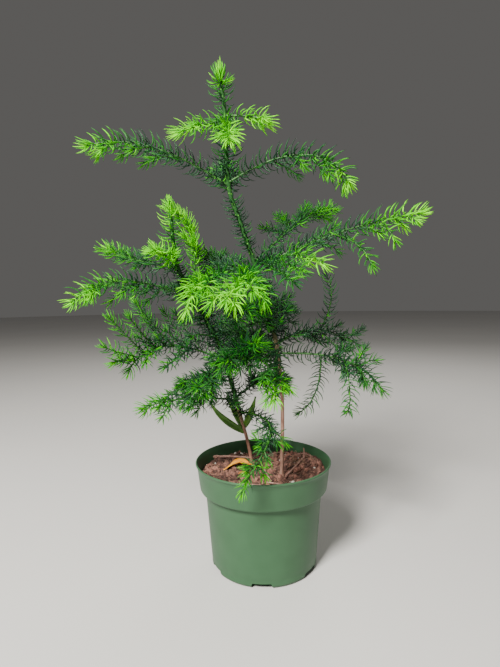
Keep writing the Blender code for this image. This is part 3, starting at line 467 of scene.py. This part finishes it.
def branch_path(branch):
    """A branch's middle line, from inside its stem's bark to its tip."""
    path = whole_path(branch)
    start = 0.6 * stem_radius(branch.stem, path[0][2])
    return path_between(path, start, distances_along(path)[-1])


def placed_twigs(branch):
    """The twigs that TWIGS places on a branch, each with the share of the branch below it."""
    path = whole_path(branch)
    return [(along / branch.length,
             shoot_path(point_along(path, along * MM)[0], azimuth, rise, length * MM, *bends))
            for along, azimuth, rise, length, *bends in TWIGS.get(branch.name, ())]


def sown_twigs(branch, path, seed, count, whole_length, loose=0.0):
    """Twigs on alternate sides of a branch, each with the share of the branch below it. They
    are rolled out of the branch's plane by up to `loose` degrees."""
    rng = random.Random(seed)
    total = distances_along(path)[-1]
    lift = radians(branch.lift)
    twigs = []
    for index in range(count):
        along = FIRST_TWIG + (LAST_TWIG - FIRST_TWIG) * (index + rng.uniform(0.3, 0.7)) / count
        root, ahead = point_along(path, along * total)
        side = 1 if index % 2 else -1
        across = unit(np.cross(ahead, (0, 0, 1)))
        above = np.cross(across, ahead)
        roll = radians(branch.roll + (rng.uniform(-loose, loose) if loose else 0.0))
        outward = side * (cos(roll) * across - sin(roll) * above)
        outward = unit(cos(lift) * outward + sin(lift) * above)
        spread = radians(TWIG_SPREAD + rng.uniform(-1, 1) * TWIG_SPREAD_SCATTER)
        start = cos(spread) * ahead + sin(spread) * outward
        azimuth = degrees(atan2(start[1], start[0]))
        rise = degrees(asin(start[2]))
        length = whole_length * MM * (1 - TWIG_TAPER * along ** 2) * rng.uniform(0.85, 1.15)
        twigs.append((along, shoot_path(root, azimuth, rise, length, branch.sag, side * TWIG_CURL)))
    return twigs


# ---------- meshes
def unit_rows(vectors):
    return vectors / np.linalg.norm(vectors, axis=1)[:, None]


def frames(path):
    """Directions and two side axes at every point of a path, which turn as little as can be."""
    ahead = unit_rows(np.gradient(path, axis=0))
    sides = np.empty_like(path)
    side = unit(np.cross(ahead[0], OFF_AXIS))
    for index, direction in enumerate(ahead):
        side = unit(side - direction * np.dot(side, direction))
        sides[index] = side
    return ahead, sides, np.cross(ahead, sides)


def add_object(name, data):
    """A new object in the scene."""
    item = bpy.data.objects.new(name, data)
    bpy.context.scene.collection.objects.link(item)
    return item


def object_of(name, bm):
    """A new object from a bmesh, which it frees."""
    mesh = bpy.data.meshes.new(name)
    bm.to_mesh(mesh)
    bm.free()
    return add_object(name, mesh)


def mesh_piece(name, places, face_sets, material, nodes=(), smooth=True):
    """A piece from places and arrays of faces, with one material. It stands for CAD nodes."""
    mesh = bpy.data.meshes.new(name)
    mesh.from_pydata(places.tolist(), [], [face for faces in face_sets for face in faces.tolist()])
    mesh.validate()
    mesh.polygons.foreach_set("use_smooth", np.full(len(mesh.polygons), smooth))
    mesh.materials.append(material)
    finish_piece(add_object(name, mesh), nodes)


def finish_piece(item, nodes=()):
    """Fixes a piece to the plant, and lets it stand for CAD nodes."""
    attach(item, "root")
    if nodes:
        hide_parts(*nodes)


class Heap:
    """Places and faces of many small shapes that become one mesh."""

    def __init__(self):
        self.places = []
        self.quads = []
        self.triangles = []
        self.count = 0

    def add(self, places, triangles, quads=()):
        self.places.append(places)
        self.triangles.append(np.asarray(triangles) + self.count)
        if len(quads):
            self.quads.append(quads + self.count)
        self.count += len(places)

    def build(self, name, material, slot, nodes=(), smooth=True):
        sets = [np.concatenate(faces) for faces in (self.quads, self.triangles) if faces]
        mesh_piece(name, np.concatenate(self.places), sets, material, nodes, smooth)


def ring_faces(rings, sides):
    """Quads that join neighbouring rings of a tube."""
    low = sides * np.arange(rings - 1)[:, None]
    high = low + sides
    side = np.arange(sides)
    after = (side + 1) % sides
    corners = (low + side, low + after, high + after, high + side)
    return np.stack(corners, axis=-1).reshape(-1, 4)


def add_tube(heap, path, radii, sides, relief=0.0):
    """A closed tapering tube along a path. The relief adds to the radii."""
    ahead, across, other = (axes[:, None, :] for axes in frames(path))
    turns = (tau * np.arange(sides) / sides)[None, :, None]
    reach = (radii[:, None] + relief)[:, :, None]
    places = path[:, None, :] + reach * (np.cos(turns) * across + np.sin(turns) * other)
    foot = len(path) * sides
    places = np.vstack([places.reshape(-1, 3), path[:1] - 0.3 * radii[0] * ahead[0],
                        path[-1:] + 0.6 * radii[-1] * ahead[-1]])
    ends = []
    for side in range(sides):
        after = (side + 1) % sides
        ends.append((foot, after, side))
        ends.append((foot + 1, foot - sides + side, foot - sides + after))
    heap.add(places, ends, ring_faces(len(path), sides))


# ---------- needles
class Needles:
    """All needles of the plant, dealt out by tone."""

    def __init__(self):
        self.shoots = []

    def grow(self, owner, path, style, tones, rng, foot_radius=0.5 * MM):
        """Needles along a shoot: thick set, curving toward its tip, with a brush at its end."""
        ends = distances_along(path)
        total = ends[-1]
        brush_start = total - BRUSH_START * style.brush
        at = np.concatenate([np.arange(style.spacing / 2, total, style.spacing),
                             np.arange(brush_start, total + BRUSH_PAST_TIP, BRUSH_SPACING)])
        count = len(at)
        at += rng.uniform(-PLACE_SCATTER, PLACE_SCATTER, count) * style.spacing
        place, ahead, side, other = (values_along(values, ends, at)
                                     for values in (path, *frames(path)))
        turn = np.arange(count) * GOLDEN_TURN + rng.uniform(-0.3, 0.3, count)
        radial = np.cos(turn)[:, None] * side + np.sin(turn)[:, None] * other
        level = np.cross(ahead, (0, 0, 1.0))
        level /= np.linalg.norm(level, axis=1)[:, None] + 1e-9
        above = np.cross(level, ahead)
        rise = (radial * above).sum(axis=1)
        radial = unit_rows(radial - (1 - style.flat) * rise[:, None] * above)
        width_axis = unit_rows(np.cross(ahead, radial))

        near_tip = np.clip((at - (total - style.brush)) / style.brush, 0, 1)
        length = style.length * (1 - (1 - style.brush_scale) * near_tip ** 1.5)
        length *= rng.uniform(*LENGTH_SCATTER, count)
        length *= (FOOT_LENGTH + (1 - FOOT_LENGTH) * np.clip(at / FOOT_REACH, 0, 1))
        angle = style.angle * (FOOT_ANGLE - ANGLE_LOSS * at / total)
        angle += rng.uniform(-ANGLE_SCATTER, ANGLE_SCATTER, count)
        angle *= (1 - TIP_ANGLE_LOSS * near_tip ** 1.3)
        curve = style.curve * (1 - TIP_CURVE_LOSS * near_tip) * rng.uniform(*CURVE_SCATTER, count)

        steps = len(NEEDLE_WIDTHS)
        line = np.empty((count, steps + 1, 3))
        line[:, 0] = place + 0.5 * foot_radius * radial
        bulge = np.empty((count, steps, 3))
        for step in range(steps):
            lean = np.radians(angle - curve * step / (steps - 1) + FOOT_CURVE * curve)
            direction = np.cos(lean)[:, None] * ahead + np.sin(lean)[:, None] * radial
            direction += style.lift * step / (steps - 1) * np.array([0, 0, 1.0])
            direction = unit_rows(direction)
            line[:, step + 1] = line[:, step] + direction * (length / steps)[:, None]
            bulge[:, step] = np.cross(direction, width_axis)
        half = style.half_width * (1 - TIP_WIDTH_LOSS * near_tip)
        half *= rng.uniform(*WIDTH_SCATTER, count)
        width = (np.array(NEEDLE_WIDTHS)[None, :] * half[:, None])[:, :, None]
        middle = line[:, :steps]
        across = width * width_axis[:, None, :]
        outward = NEEDLE_DEPTH * width * bulge
        rings = np.stack([middle + across, middle + outward, middle - across, middle - outward],
                         axis=2)
        points = np.concatenate([rings.reshape(count, steps * 4, 3), line[:, steps:]], axis=1)
        tone = tones[0] + (tones[1] - tones[0]) * np.clip(at / total, 0, 1) ** tones[2]
        tone += rng.normal(0, TONE_SCATTER, count)
        tone = np.clip(np.rint(tone), 0, len(TONES) - 1)
        self.shoots.append((points, tone, np.full(count, owner)))

    def build(self, materials):
        """One mesh or more for each tone, each below the limit on a piece's triangles."""
        points, tones, owners = map(np.concatenate, zip(*self.shoots))
        last = 4 * (len(NEEDLE_WIDTHS) - 1)
        quads = np.vstack([ring_faces(len(NEEDLE_WIDTHS), 4), [[3, 2, 1, 0]]])
        triangles = np.array([[last + side, last + (side + 1) % 4, last + 4] for side in range(4)])
        for index, (tone, (_, _, slot)) in enumerate(TONES.items()):
            chosen = np.flatnonzero(tones == index)
            parts = ceil(len(chosen) / NEEDLES_PER_PIECE)
            for part, group in enumerate(np.array_split(chosen, parts), 1):
                offsets = (np.arange(len(group)) * points.shape[1])[:, None, None]
                faces = [(kind[None] + offsets).reshape(-1, kind.shape[1])
                         for kind in (quads, triangles)]
                mesh_piece(f"needles_{tone}_{part}", points[group].reshape(-1, 3), faces,
                           materials["needles_" + tone], sorted(set(owners[group])))


# ---------- shoots
def grow_twig(needles, axes, owner, path, style, tones, rng):
    """One twig, as a thin tube and its needles."""
    add_tube(axes, path, np.linspace(*TWIG_RADII, len(path)), 6)
    needles.grow(owner, path, STYLES[style], tones, rng)


def grow_plant(needles, axes):
    """Every branch and stem, with their twigs and needles."""
    for branch in BRANCHES:
        path = branch_path(branch)
        rng = np.random.default_rng(sum(map(ord, branch.name)))
        low, high, late = TONE_SPAN_OF.get(branch.name, TONE_SPAN[branch.tone])
        owner = "spray_" + branch.name
        add_tube(axes, path, np.linspace(*BRANCH_RADII, len(path)), 7)
        style, twig_style = STYLE_OF.get(branch.name, (branch.tone, branch.tone + "_twig"))
        needled = path_between(path, FIRST_NEEDLE, distances_along(path)[-1])
        needles.grow(owner, needled, STYLES[style], (low, high, late), rng, 0.8 * MM)
        fill = FILL_OF.get(branch.name, FILL[branch.tone])
        twigs = placed_twigs(branch)
        twigs += sown_twigs(branch, path, branch.name, branch.twigs, branch.twig_length)
        twigs += sown_twigs(branch, path, "fill " + branch.name, *fill, FILL_ROLL)
        least, more = TWIG_TIP_TONE[branch.tone]
        for along, twig in twigs:
            start = low + (high - low) * along ** late
            tones = (start, start + (high - start) * (least + more * along), 1.3)
            grow_twig(needles, axes, owner, twig, twig_style, tones, rng)
    for node_and_span in STEM_NEEDLES:
        grow_stem_needles(needles, *node_and_span)
    grow_stem_twigs(needles, axes)


def grow_stem_needles(needles, name, low, high):
    """The needles of a stretch of stem, or of a leader where it passes the stem's tip."""
    rng = np.random.default_rng(sum(map(ord, name)))
    stem = "tall" if "tall" in name else "leaning"
    tip = STEM_PLACES[stem][-1][2]
    parts = LEADER_PARTS[stem] if high > tip else [(0, *STEM_STYLE_OF.get(name, STEM_STYLE))]
    for below_tip, style, tones in parts:
        end = high - below_tip
        steps = max(4, round((end - low) * MM / STEP))
        path = np.array([stem_point(stem, low + (end - low) * step / steps)
                         for step in range(steps + 1)])
        radius = stem_radius(stem, min(tip, (low + end) / 2) * MM)
        needles.grow(name, path, STYLES[style], tones, rng, radius)
        low = end


def grow_stem_twigs(needles, axes):
    """Short dark twigs straight from the stems, that fill the middle of the plant."""
    for stem, low, high, count, length in STEM_TWIGS:
        rng = random.Random("stem twigs " + stem)
        scatter = np.random.default_rng(count)
        for index in range(count):
            height = low + (high - low) * (index + rng.uniform(0.2, 0.8)) / count
            azimuth = degrees(index * GOLDEN_TURN) + rng.uniform(-20, 20)
            twig = shoot_path(stem_point(stem, height), azimuth, rng.uniform(0, 40),
                              length * MM * rng.uniform(0.8, 1.2), rng.uniform(20, 50), 0)
            # The low tones of these twigs are partly painted shade for the middle of the crown.
            grow_twig(needles, axes, "trunk_" + stem, twig, "dark_twig", (0.2, 1.6, 1.6), scatter)


def build_stems(materials):
    """Trunks with fine lengthwise relief, brown below and green above."""
    sides = 18
    turns = tau * np.arange(sides) / sides
    for stem, path in STEM_PATHS.items():
        path = path_between(path, 0, distances_along(path)[-1], 0.7 * MM)
        heights = path[:, 2]
        green = np.clip((heights - GREEN_FROM[stem][0]) / LEAF_BASES_WITHIN, 0, 1)
        radii = np.array([stem_radius(stem, z) for z in heights]) + LEAF_BASES * green
        around, along = BARK_GRAIN
        relief = [[BARK_RELIEF * noise.fractal((around * cos(turn), around * sin(turn),
                                                z / along), 1.0, 2.0, 3) for turn in turns]
                  for z in heights]
        heap = Heap()
        add_tube(heap, path, radii, sides, np.array(relief))
        heap.build("bark_" + stem, materials["bark_" + stem], "bark", ["trunk_" + stem])


# ---------- pot
def wall_radius(z):
    """Outer radius of the pot's wall at a height."""
    if z > BAND_FOOT_Z:
        share = (z - BAND_FOOT_Z) / (POT_HEIGHT - BAND_FOOT_Z)
        return BAND_FOOT_RADIUS + (POT_RIM_RADIUS - LIP - BAND_FOOT_RADIUS) * share
    return BASE_RADIUS + (BODY_TOP_RADIUS - BASE_RADIUS) * z / BAND_FOOT_Z


def arc(centre, radius, start, end, steps):
    """Points of an arc in the pot's section, between two angles in degrees."""
    turns = [radians(start + (end - start) * k / steps) for k in range(steps + 1)]
    return [(centre[0] + radius * cos(t), centre[1] + radius * sin(t)) for t in turns]


def wall_points(heights, inward=0.0):
    """Points of the pot's section on its wall, at heights in millimetres."""
    return [(wall_radius(z * MM) - inward, z * MM) for z in heights]


def pot_profile():
    """The pot's section: down the outside, across the base and up the inside."""
    lip_centre = (POT_RIM_RADIUS - LIP_ROLL, POT_HEIGHT - LIP_ROLL)
    bead_centre = (BAND_FOOT_RADIUS + 0.1 * MM - BEAD, BAND_FOOT_Z + BEAD)
    step_centre = (BODY_TOP_RADIUS + STEP_FILLET, BAND_FOOT_Z - STEP_FILLET)
    base_centre = (BASE_RADIUS - 2.6 * MM, BASE_FILLET)
    inner_step_z = BAND_FOOT_Z + WALL
    return [
        *arc(lip_centre, LIP_ROLL, 90, -60, 10),
        (wall_radius(84 * MM) + 0.05 * MM, 84.6 * MM), *wall_points((82, 78, 74, 70)),
        *arc(bead_centre, BEAD, 0, -90, 8), *arc(step_centre, STEP_FILLET, 90, 180, 6),
        *wall_points((60, 52, 44, 36, 28, 20, 12, 8.4)), *wall_points([7.6], 0.15 * MM),
        *arc(base_centre, BASE_FILLET, 12, -90, 9),
        (0, 0), (0, WALL), (BASE_RADIUS - 3.5 * MM, WALL), (BASE_RADIUS - WALL, WALL + 2 * MM),
        (BODY_TOP_RADIUS - WALL, inner_step_z),
        (BAND_FOOT_RADIUS - WALL, inner_step_z + 0.4 * MM), *wall_points((70, 76, 82, 85.5), WALL),
    ]


def build_pot(materials):
    """The moulded pot: rolled lip, deep band, filleted base and sloping drainage notches."""
    sides = 144
    turns = [tau * k / sides for k in range(sides)]
    bm = bmesh.new()
    rings = []
    for radius, z in pot_profile():
        if radius == 0:
            rings.append([bm.verts.new((0, 0, z))] * sides)
            continue
        rings.append([bm.verts.new((radius * cos(turn), radius * sin(turn), z)) for turn in turns])
    for upper, lower in zip(rings, rings[1:] + rings[:1]):
        for k in range(sides):
            after = (k + 1) % sides
            corners = list(dict.fromkeys([upper[k], upper[after], lower[after], lower[k]]))
            if len(corners) > 2:
                bm.faces.new(corners)
    bmesh.ops.recalc_face_normals(bm, faces=bm.faces)
    pot = object_of("pot_moulded", bm)
    pot.data.materials.append(materials["pot"])
    cut_notches(pot)
    pot.data.shade_smooth()
    pot.data.set_sharp_from_angle(angle=radians(38))
    finish_piece(pot, ["pot"])


def cut_notches(pot):
    """Cuts the drainage notches, wider at the bottom, through the corner of the base."""
    low, high = NOTCH_WIDTH / 2 + 0.6 * MM, NOTCH_WIDTH / 2 - 1.2 * MM
    outline = [(-low, -1 * MM), (low, -1 * MM), (high, NOTCH_HEIGHT), (-high, NOTCH_HEIGHT)]
    bm = bmesh.new()
    for index in range(NOTCH_COUNT):
        angle = radians(FIRST_NOTCH_AT) + index * tau / NOTCH_COUNT
        turn = Matrix.Rotation(angle, 4, "Z")
        near, far = ([bm.verts.new(turn @ Vector((BASE_RADIUS + depth, y, z)))
                      for y, z in outline] for depth in (-5 * MM, 5 * MM))
        bm.faces.new(near)
        bm.faces.new(far[::-1])
        for k in range(4):
            after = (k + 1) % 4
            bm.faces.new((near[k], far[k], far[after], near[after]))
    bmesh.ops.recalc_face_normals(bm, faces=bm.faces)
    cutter = object_of("notches", bm)
    cut = pot.modifiers.new("notches", "BOOLEAN")
    cut.operation = "DIFFERENCE"
    cut.object = cutter
    cut.solver = "EXACT"
    depsgraph = bpy.context.evaluated_depsgraph_get()
    result = bpy.data.meshes.new_from_object(pot.evaluated_get(depsgraph))
    pot.modifiers.clear()
    pot.data = result
    bpy.data.objects.remove(cutter, do_unlink=True)


# ---------- potting mix
def mound(x, y, centre, radius):
    """A round mound's share of its height at a place."""
    return exp(-(hypot(x - centre[0], y - centre[1]) / radius) ** 2)


def mix_height(x, y):
    """Top of the potting mix, as in the CAD."""
    wave_x, wave_y, wave_across = MIX_WAVES
    rough = MIX_ROUGHNESS * (sin(x / wave_x) * cos(y / wave_y) + 0.6 * sin((x + y) / wave_across))
    height = rough + MIX_MOUND * mound(x, y, MIX_MOUND_AT, MIX_MOUND_RADIUS)
    for places in STEM_PLACES.values():
        foot = hypot(x - places[0][0] * MM, y - places[0][1] * MM) / MIX_FLAT_RADIUS
        height *= min(1.0, max(0.0, foot - 0.5))
    return MIX_TOP_Z + height


def ground(x, y):
    """The top of the mix with its fine lumps and soft mounds."""
    lumps = noise.fractal(Vector((x, y, 0.0)) / GROUND_LUMP, 0.8, 2.1, 5)
    rise = 0.0
    for centre_x, centre_y, radius, height in SOFT_MOUNDS:
        rise += height * MM * mound(x, y, (centre_x * MM, centre_y * MM), radius * MM)
    return mix_height(x, y) + GROUND_RELIEF * lumps + rise


def build_ground(materials):
    """The top of the mix, finely rough, closed by a skirt and a floor inside the pot."""
    edge = wall_radius(MIX_TOP_Z) - WALL - 0.1 * MM
    rings, sides = 70, 200
    places = [(0.0, 0.0, ground(0, 0))]
    for ring in range(1, rings + 1):
        radius = edge * ring / rings
        for side in range(sides):
            turn = tau * side / sides
            x, y = radius * cos(turn), radius * sin(turn)
            places.append((x, y, ground(x, y)))
    skirt = np.array(places[-sides:]) * (0.98, 0.98, 0) + (0, 0, GROUND_FLOOR_Z)
    places = np.vstack([places, skirt, [(0, 0, GROUND_FLOOR_Z)]])
    around = np.arange(sides)
    after = (around + 1) % sides
    low = 1 + rings * sides
    fans = [np.column_stack([np.zeros(sides, int), 1 + around, 1 + after]),
            np.column_stack([np.full(sides, len(places) - 1), low + after, low + around])]
    faces = [ring_faces(rings + 1, sides) + 1, np.vstack(fans)]
    mesh_piece("mix_surface", places, faces, materials["mix"], ["potting_mix"])


def scatter_lumps(name, spots, sizes, squash, material, rng, sink=0.35, subdivisions=1):
    """Crumbs on the mix: one mesh of many round shapes, squashed, dented and turned any way."""
    bm = bmesh.new()
    bmesh.ops.create_icosphere(bm, subdivisions=subdivisions, radius=1.0)
    corners = np.array([tuple(vert.co) for vert in bm.verts])
    faces = np.array([[vert.index for vert in face.verts] for face in bm.faces])
    bm.free()
    turns = []
    for _ in spots:
        axis = Vector(rng.normal(size=3)).normalized()
        turns.append(np.array(Matrix.Rotation(rng.uniform(0, tau), 3, axis)))
    heap = Heap()
    for spot, size, turn in zip(spots, sizes, turns):
        scale = size * rng.uniform(*squash, size=3)
        dents = rng.uniform(0.72, 1.2, (len(corners), 1))
        shape = (corners * dents * scale) @ turn.T
        heap.add(shape + (spot + (0, 0, size * (0.5 - sink))), faces)
    heap.build(name, material, "potting_mix", smooth=False)


def ground_spots(count, rng, reach=52 * MM):
    """Random places on the mix."""
    radius = reach * np.sqrt(rng.uniform(0, 1, count))
    turn = rng.uniform(0, tau, count)
    x, y = radius * np.cos(turn), radius * np.sin(turn)
    return np.array([(a, b, ground(a, b)) for a, b in zip(x, y)])


def build_crumbs(materials):
    """Loose peat, bark and perlite over the mix."""
    rng = np.random.default_rng(5)
    for kind, count, least, most in CRUMBS:
        sizes = rng.uniform(least, 1.0, count) ** 2 * most * MM * 0.75
        scatter_lumps("crumbs_" + kind, ground_spots(count, rng), sizes, (0.6, 1.4),
                      materials["mix_" + kind], rng)
    for kind, count in CLODS:
        sizes = rng.uniform(1.2, 3.2, count) * MM
        scatter_lumps("clods_" + kind, ground_spots(count, rng, 50 * MM), sizes, (0.6, 1.3),
                      materials["mix_" + kind], rng, 0.55, 2)
    spots = ground_spots(40, rng)
    sizes = rng.uniform(0.4, 1.0, 40) * MM
    placed = [(x * MM, y * MM, ground(x * MM, y * MM)) for x, y, _ in PERLITE]
    spots = np.vstack([spots, placed])
    sizes = np.concatenate([sizes, [size * MM for _, _, size in PERLITE]])
    scatter_lumps("perlite", spots, sizes, (0.8, 1.2), materials["perlite"], rng, 0.2)


def raised(path, clearance):
    """A path lifted to lie at least that much above the mix."""
    floor = np.array([ground(x, y) for x, y, _ in path]) + clearance
    path[:, 2] = np.maximum(path[:, 2], floor)
    return path


def build_fibres(materials):
    """Fine roots and peat fibres lying over the mix, also thick on its right."""
    rng = np.random.default_rng(11)
    heap = Heap()
    spots = np.vstack([ground_spots(260, rng, 50 * MM),
                       ground_spots(150, rng, 14 * MM) + (34 * MM, 12 * MM, 0)])
    for x, y, _ in spots:
        length, turn, bend, rise = rng.uniform((3, 0, -70, -5), (9, tau, 70, 40))
        path = shoot_path((x, y, ground(x, y) + 0.1 * MM), degrees(turn), rise, length * MM,
                          rise * 2.4, bend, 0.8 * MM)
        if np.hypot(path[:, 0], path[:, 1]).max() > 53 * MM:
            continue
        path = raised(path, 0.05 * MM)
        add_tube(heap, path, np.full(len(path), rng.uniform(0.07, 0.16) * MM), 3)
    heap.build("mix_fibres", materials["mix_tan"], "potting_mix")


def build_sticks(materials):
    """The sticks, tapering and slightly rough, lifted to lie on the mix."""
    rng = np.random.default_rng(3)
    heap = Heap()
    for *places, radius in STICKS:
        path = raised(smooth_curve(places, 10) * MM, 0.4 * radius * MM)
        radii = radius * MM * np.linspace(1.0, 0.6, len(path)) * rng.uniform(0.88, 1.1, len(path))
        relief = rng.uniform(-0.10, 0.10, (len(path), 8)) * radius * MM
        add_tube(heap, path, radii, 8, relief)
    heap.build("mix_sticks", materials["stick"], "potting_mix")


def strap(name, path, widths, thickness, fold, material, nodes=(), hint=(0, 0, 1), curl=0.0):
    """A leaf blade along a path: five points across, folded along its rib, with two faces."""
    ahead = unit_rows(np.gradient(path, axis=0))
    across = unit_rows(np.cross(ahead, hint))[:, None, :]
    above = np.cross(across[:, 0], ahead)[:, None, :]
    shares = np.array([[-1.0, -0.5, 0.0, 0.5, 1.0]])
    widths = widths[:, None]
    middle = path[:, None, :] + shares[:, :, None] * widths[:, :, None] * across
    layers = []
    for face in (0.5, -0.5):
        height = fold * np.abs(shares) * widths
        height += face * thickness * (1 - 0.7 * shares ** 4)
        height -= face * 0.5 * thickness * (shares == 0)
        height += np.reshape(curl, (-1, 1)) * shares
        layers.append(middle + height[:, :, None] * above)
    loop = np.concatenate([layers[0], layers[1][:, ::-1]], axis=1)
    rows, sides = loop.shape[:2]
    cap = np.array([[k, k + 1, sides - 2 - k, sides - 1 - k] for k in range(4)])
    quads = np.concatenate([ring_faces(rows, sides), cap[:, ::-1], cap + (rows - 1) * sides])
    mesh_piece(name, loop.reshape(-1, 3), [quads], material, nodes)


def build_seed_leaves(materials):
    """The three broad strap leaves near the leaning stem's foot."""
    for index, (name, (azimuth, rise, length, droop)) in enumerate(SEED_LEAVES.items()):
        foot = stem_point("leaning", SEED_LEAF_HEIGHT + SEED_LEAF_STAGGER * index)
        path = shoot_path(foot, azimuth, rise, length * MM, droop, 0)
        path = path_between(path, 1.0 * MM, distances_along(path)[-1])
        along = np.linspace(0, 1, len(path))
        shape = 0.25 + 0.75 * np.sin(pi * np.minimum(1, along + 0.08) ** 0.8)
        widths = SEED_LEAF_WIDTH / 2 * np.clip(shape, 0.06, None)
        strap(name.replace("seed_leaf", "strap"), path, widths, 0.45 * MM, 0.22,
              materials["seed_leaf"], [name], (0, -1, 0.2))


def build_fallen_leaves(materials):
    """The curled orange leaf on the mix, and a brown scrap in front of it."""
    path = smooth_curve(FALLEN_LEAF, 7) * MM
    along = np.linspace(0, 1, len(path))
    widths = MM * (0.5 + 3.0 * np.sin(pi * along) ** 0.8)
    curl = MM * 0.9 * np.sin(along * 9.0)
    strap("fallen_leaf", path, widths, 0.35 * MM, 0.35, materials["fallen_leaf"],
          curl=curl)
    path = smooth_curve(FALLEN_SCRAP, 6) * MM
    widths = MM * (0.4 + 1.3 * np.sin(pi * np.linspace(0, 1, len(path))))
    strap("fallen_scrap", path, widths, 0.35 * MM, 0.3, materials["fallen_scrap"])


# ---------- materials
def feed(item, inputs):
    """Sets a node's inputs to values, or links them to other nodes' outputs."""
    for key, value in inputs.items():
        if isinstance(value, bpy.types.NodeSocket):
            item.id_data.links.new(value, item.inputs[key])
        else:
            item.inputs[key].default_value = value


def node(tree, kind, **inputs):
    """A new node with its inputs, whose names have _ for a space."""
    item = tree.nodes.new("ShaderNode" + kind)
    item.location.x = NODE_SPACING * len(tree.nodes)
    feed(item, {key.replace("_", " "): value for key, value in inputs.items()})
    return item


def shade_ramp(tree, source, stops):
    """The colour that a source turns into, between two stops of position and colour."""
    item = node(tree, "ValToRGB", Fac=source)
    for element, (position, colour) in zip(item.color_ramp.elements, stops):
        element.position = position
        element.color = (*colour, 1)
    return item.outputs["Color"]


def mottled(name, darker, lighter, scale, roughness, bump=0.0, bump_scale=None, specular=0.5,
            stretch=(1, 1, 1)):
    """A material that wanders between two shades of one colour, with some fine relief."""
    material = bpy.data.materials.new(name)
    material.use_nodes = True
    tree = material.node_tree
    shader = tree.nodes["Principled BSDF"]
    where = node(tree, "TexCoord").outputs["Object"]
    spread = node(tree, "Mapping", Vector=where, Scale=stretch).outputs["Vector"]
    clouds = node(tree, "TexNoise", Vector=spread, Scale=scale, Detail=3.0)
    colour = shade_ramp(tree, clouds.outputs["Fac"], ((0.32, darker), (0.68, lighter)))
    feed(shader, {"Base Color": colour, "Roughness": roughness, "Specular IOR Level": specular})
    if bump:
        grain = node(tree, "TexNoise", Vector=spread, Scale=bump_scale, Detail=4.0)
        relief = node(tree, "Bump", Height=grain.outputs["Fac"], Strength=bump, Distance=BUMP_DEPTH)
        feed(shader, {"Normal": relief.outputs["Normal"]})
    return material


def bark_material(name, brown_to, green_from):
    """Pinkish brown bark that turns green between two heights, with pale leaf marks."""
    material = mottled(name, *BARK)
    tree = material.node_tree
    shader = tree.nodes["Principled BSDF"]
    where = node(tree, "TexCoord").outputs["Object"]
    height = node(tree, "SeparateXYZ", Vector=where).outputs["Z"]
    share = node(tree, "MapRange", Value=height, From_Min=brown_to, From_Max=green_from)
    cells = node(tree, "TexVoronoi", Vector=where, Scale=480)
    marks = shade_ramp(tree, cells.outputs["Distance"], LEAF_MARKS)
    blend = node(tree, "Mix")
    blend.data_type = "RGBA"
    sources = {"Factor_Float": share.outputs["Result"], "B_Color": marks,
               "A_Color": shader.inputs["Base Color"].links[0].from_socket}
    for socket in blend.inputs:
        if socket.identifier in sources:
            tree.links.new(sources[socket.identifier], socket)
    result = next(socket for socket in blend.outputs if socket.identifier == "Result_Color")
    feed(shader, {"Base Color": result})
    return material


def make_materials():
    """Every material of the scene, by name."""
    made = {name: mottled(name, *row) for name, row in FINISHES.items()}
    for tone, (colour, sheen, _) in TONES.items():
        darker = [part * (1 - TONE_SPREAD) for part in colour]
        lighter = [min(1.0, part * (1 + TONE_SPREAD)) for part in colour]
        made["needles_" + tone] = mottled("needles_" + tone, darker, lighter, 160, 0.55,
                                          specular=sheen)
    for stem, heights in GREEN_FROM.items():
        made["bark_" + stem] = bark_material("bark_" + stem, *heights)
    return made


# ---------- studio
def build_studio(materials):
    """A pale floor, soft light from the left and front, and the photograph's camera."""
    bm = bmesh.new()
    bmesh.ops.create_circle(bm, cap_ends=True, segments=96, radius=6.0)
    floor = object_of("floor", bm)
    floor.location.z = -0.1 * MM
    floor.data.materials.append(materials["floor"])
    world = bpy.data.worlds.new("studio")
    bpy.context.scene.world = world
    world.use_nodes = True
    feed(world.node_tree.nodes["Background"], {"Color": SKY_COLOUR, "Strength": SKY_STRENGTH})
    for name, (place, size, power) in LIGHTS.items():
        light = bpy.data.lights.new(name, "AREA")
        light.size = size
        light.energy = power
        light.color = LIGHT_COLOUR
        item = add_object(name, light)
        item.location = place
        aim = Vector((0, 0, 0.2)) - Vector(place)
        item.rotation_euler = aim.to_track_quat("-Z", "Y").to_euler()
    camera = bpy.data.cameras.new("camera")
    camera.lens = CAMERA_LENS
    camera.sensor_width = SENSOR_WIDTH
    item = add_object("camera", camera)
    item.matrix_world = (Matrix.Translation(CAMERA_PLACE)
                         @ Matrix.Rotation(pi / 2 - CAMERA_PITCH, 4, "X")
                         @ Matrix.Rotation(CAMERA_ROLL, 4, "Z"))
    bpy.context.scene.camera = item


def main():
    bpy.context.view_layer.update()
    materials = make_materials()
    needles, axes = Needles(), Heap()
    grow_plant(needles, axes)
    needles.build(materials)
    boughs = ["bough_" + branch.name for branch in BRANCHES if branch.bough]
    axes.build("shoot_axes", materials["axis"], "green_stem", boughs)
    for build in (build_stems, build_pot, build_ground, build_crumbs, build_fibres, build_sticks,
                  build_seed_leaves, build_fallen_leaves, build_studio):
        build(materials)


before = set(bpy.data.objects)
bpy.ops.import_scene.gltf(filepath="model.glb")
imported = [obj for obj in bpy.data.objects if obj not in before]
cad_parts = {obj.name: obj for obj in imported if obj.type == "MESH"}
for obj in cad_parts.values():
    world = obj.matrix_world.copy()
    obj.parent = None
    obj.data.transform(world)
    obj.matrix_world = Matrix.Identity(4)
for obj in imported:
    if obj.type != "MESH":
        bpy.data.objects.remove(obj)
main()
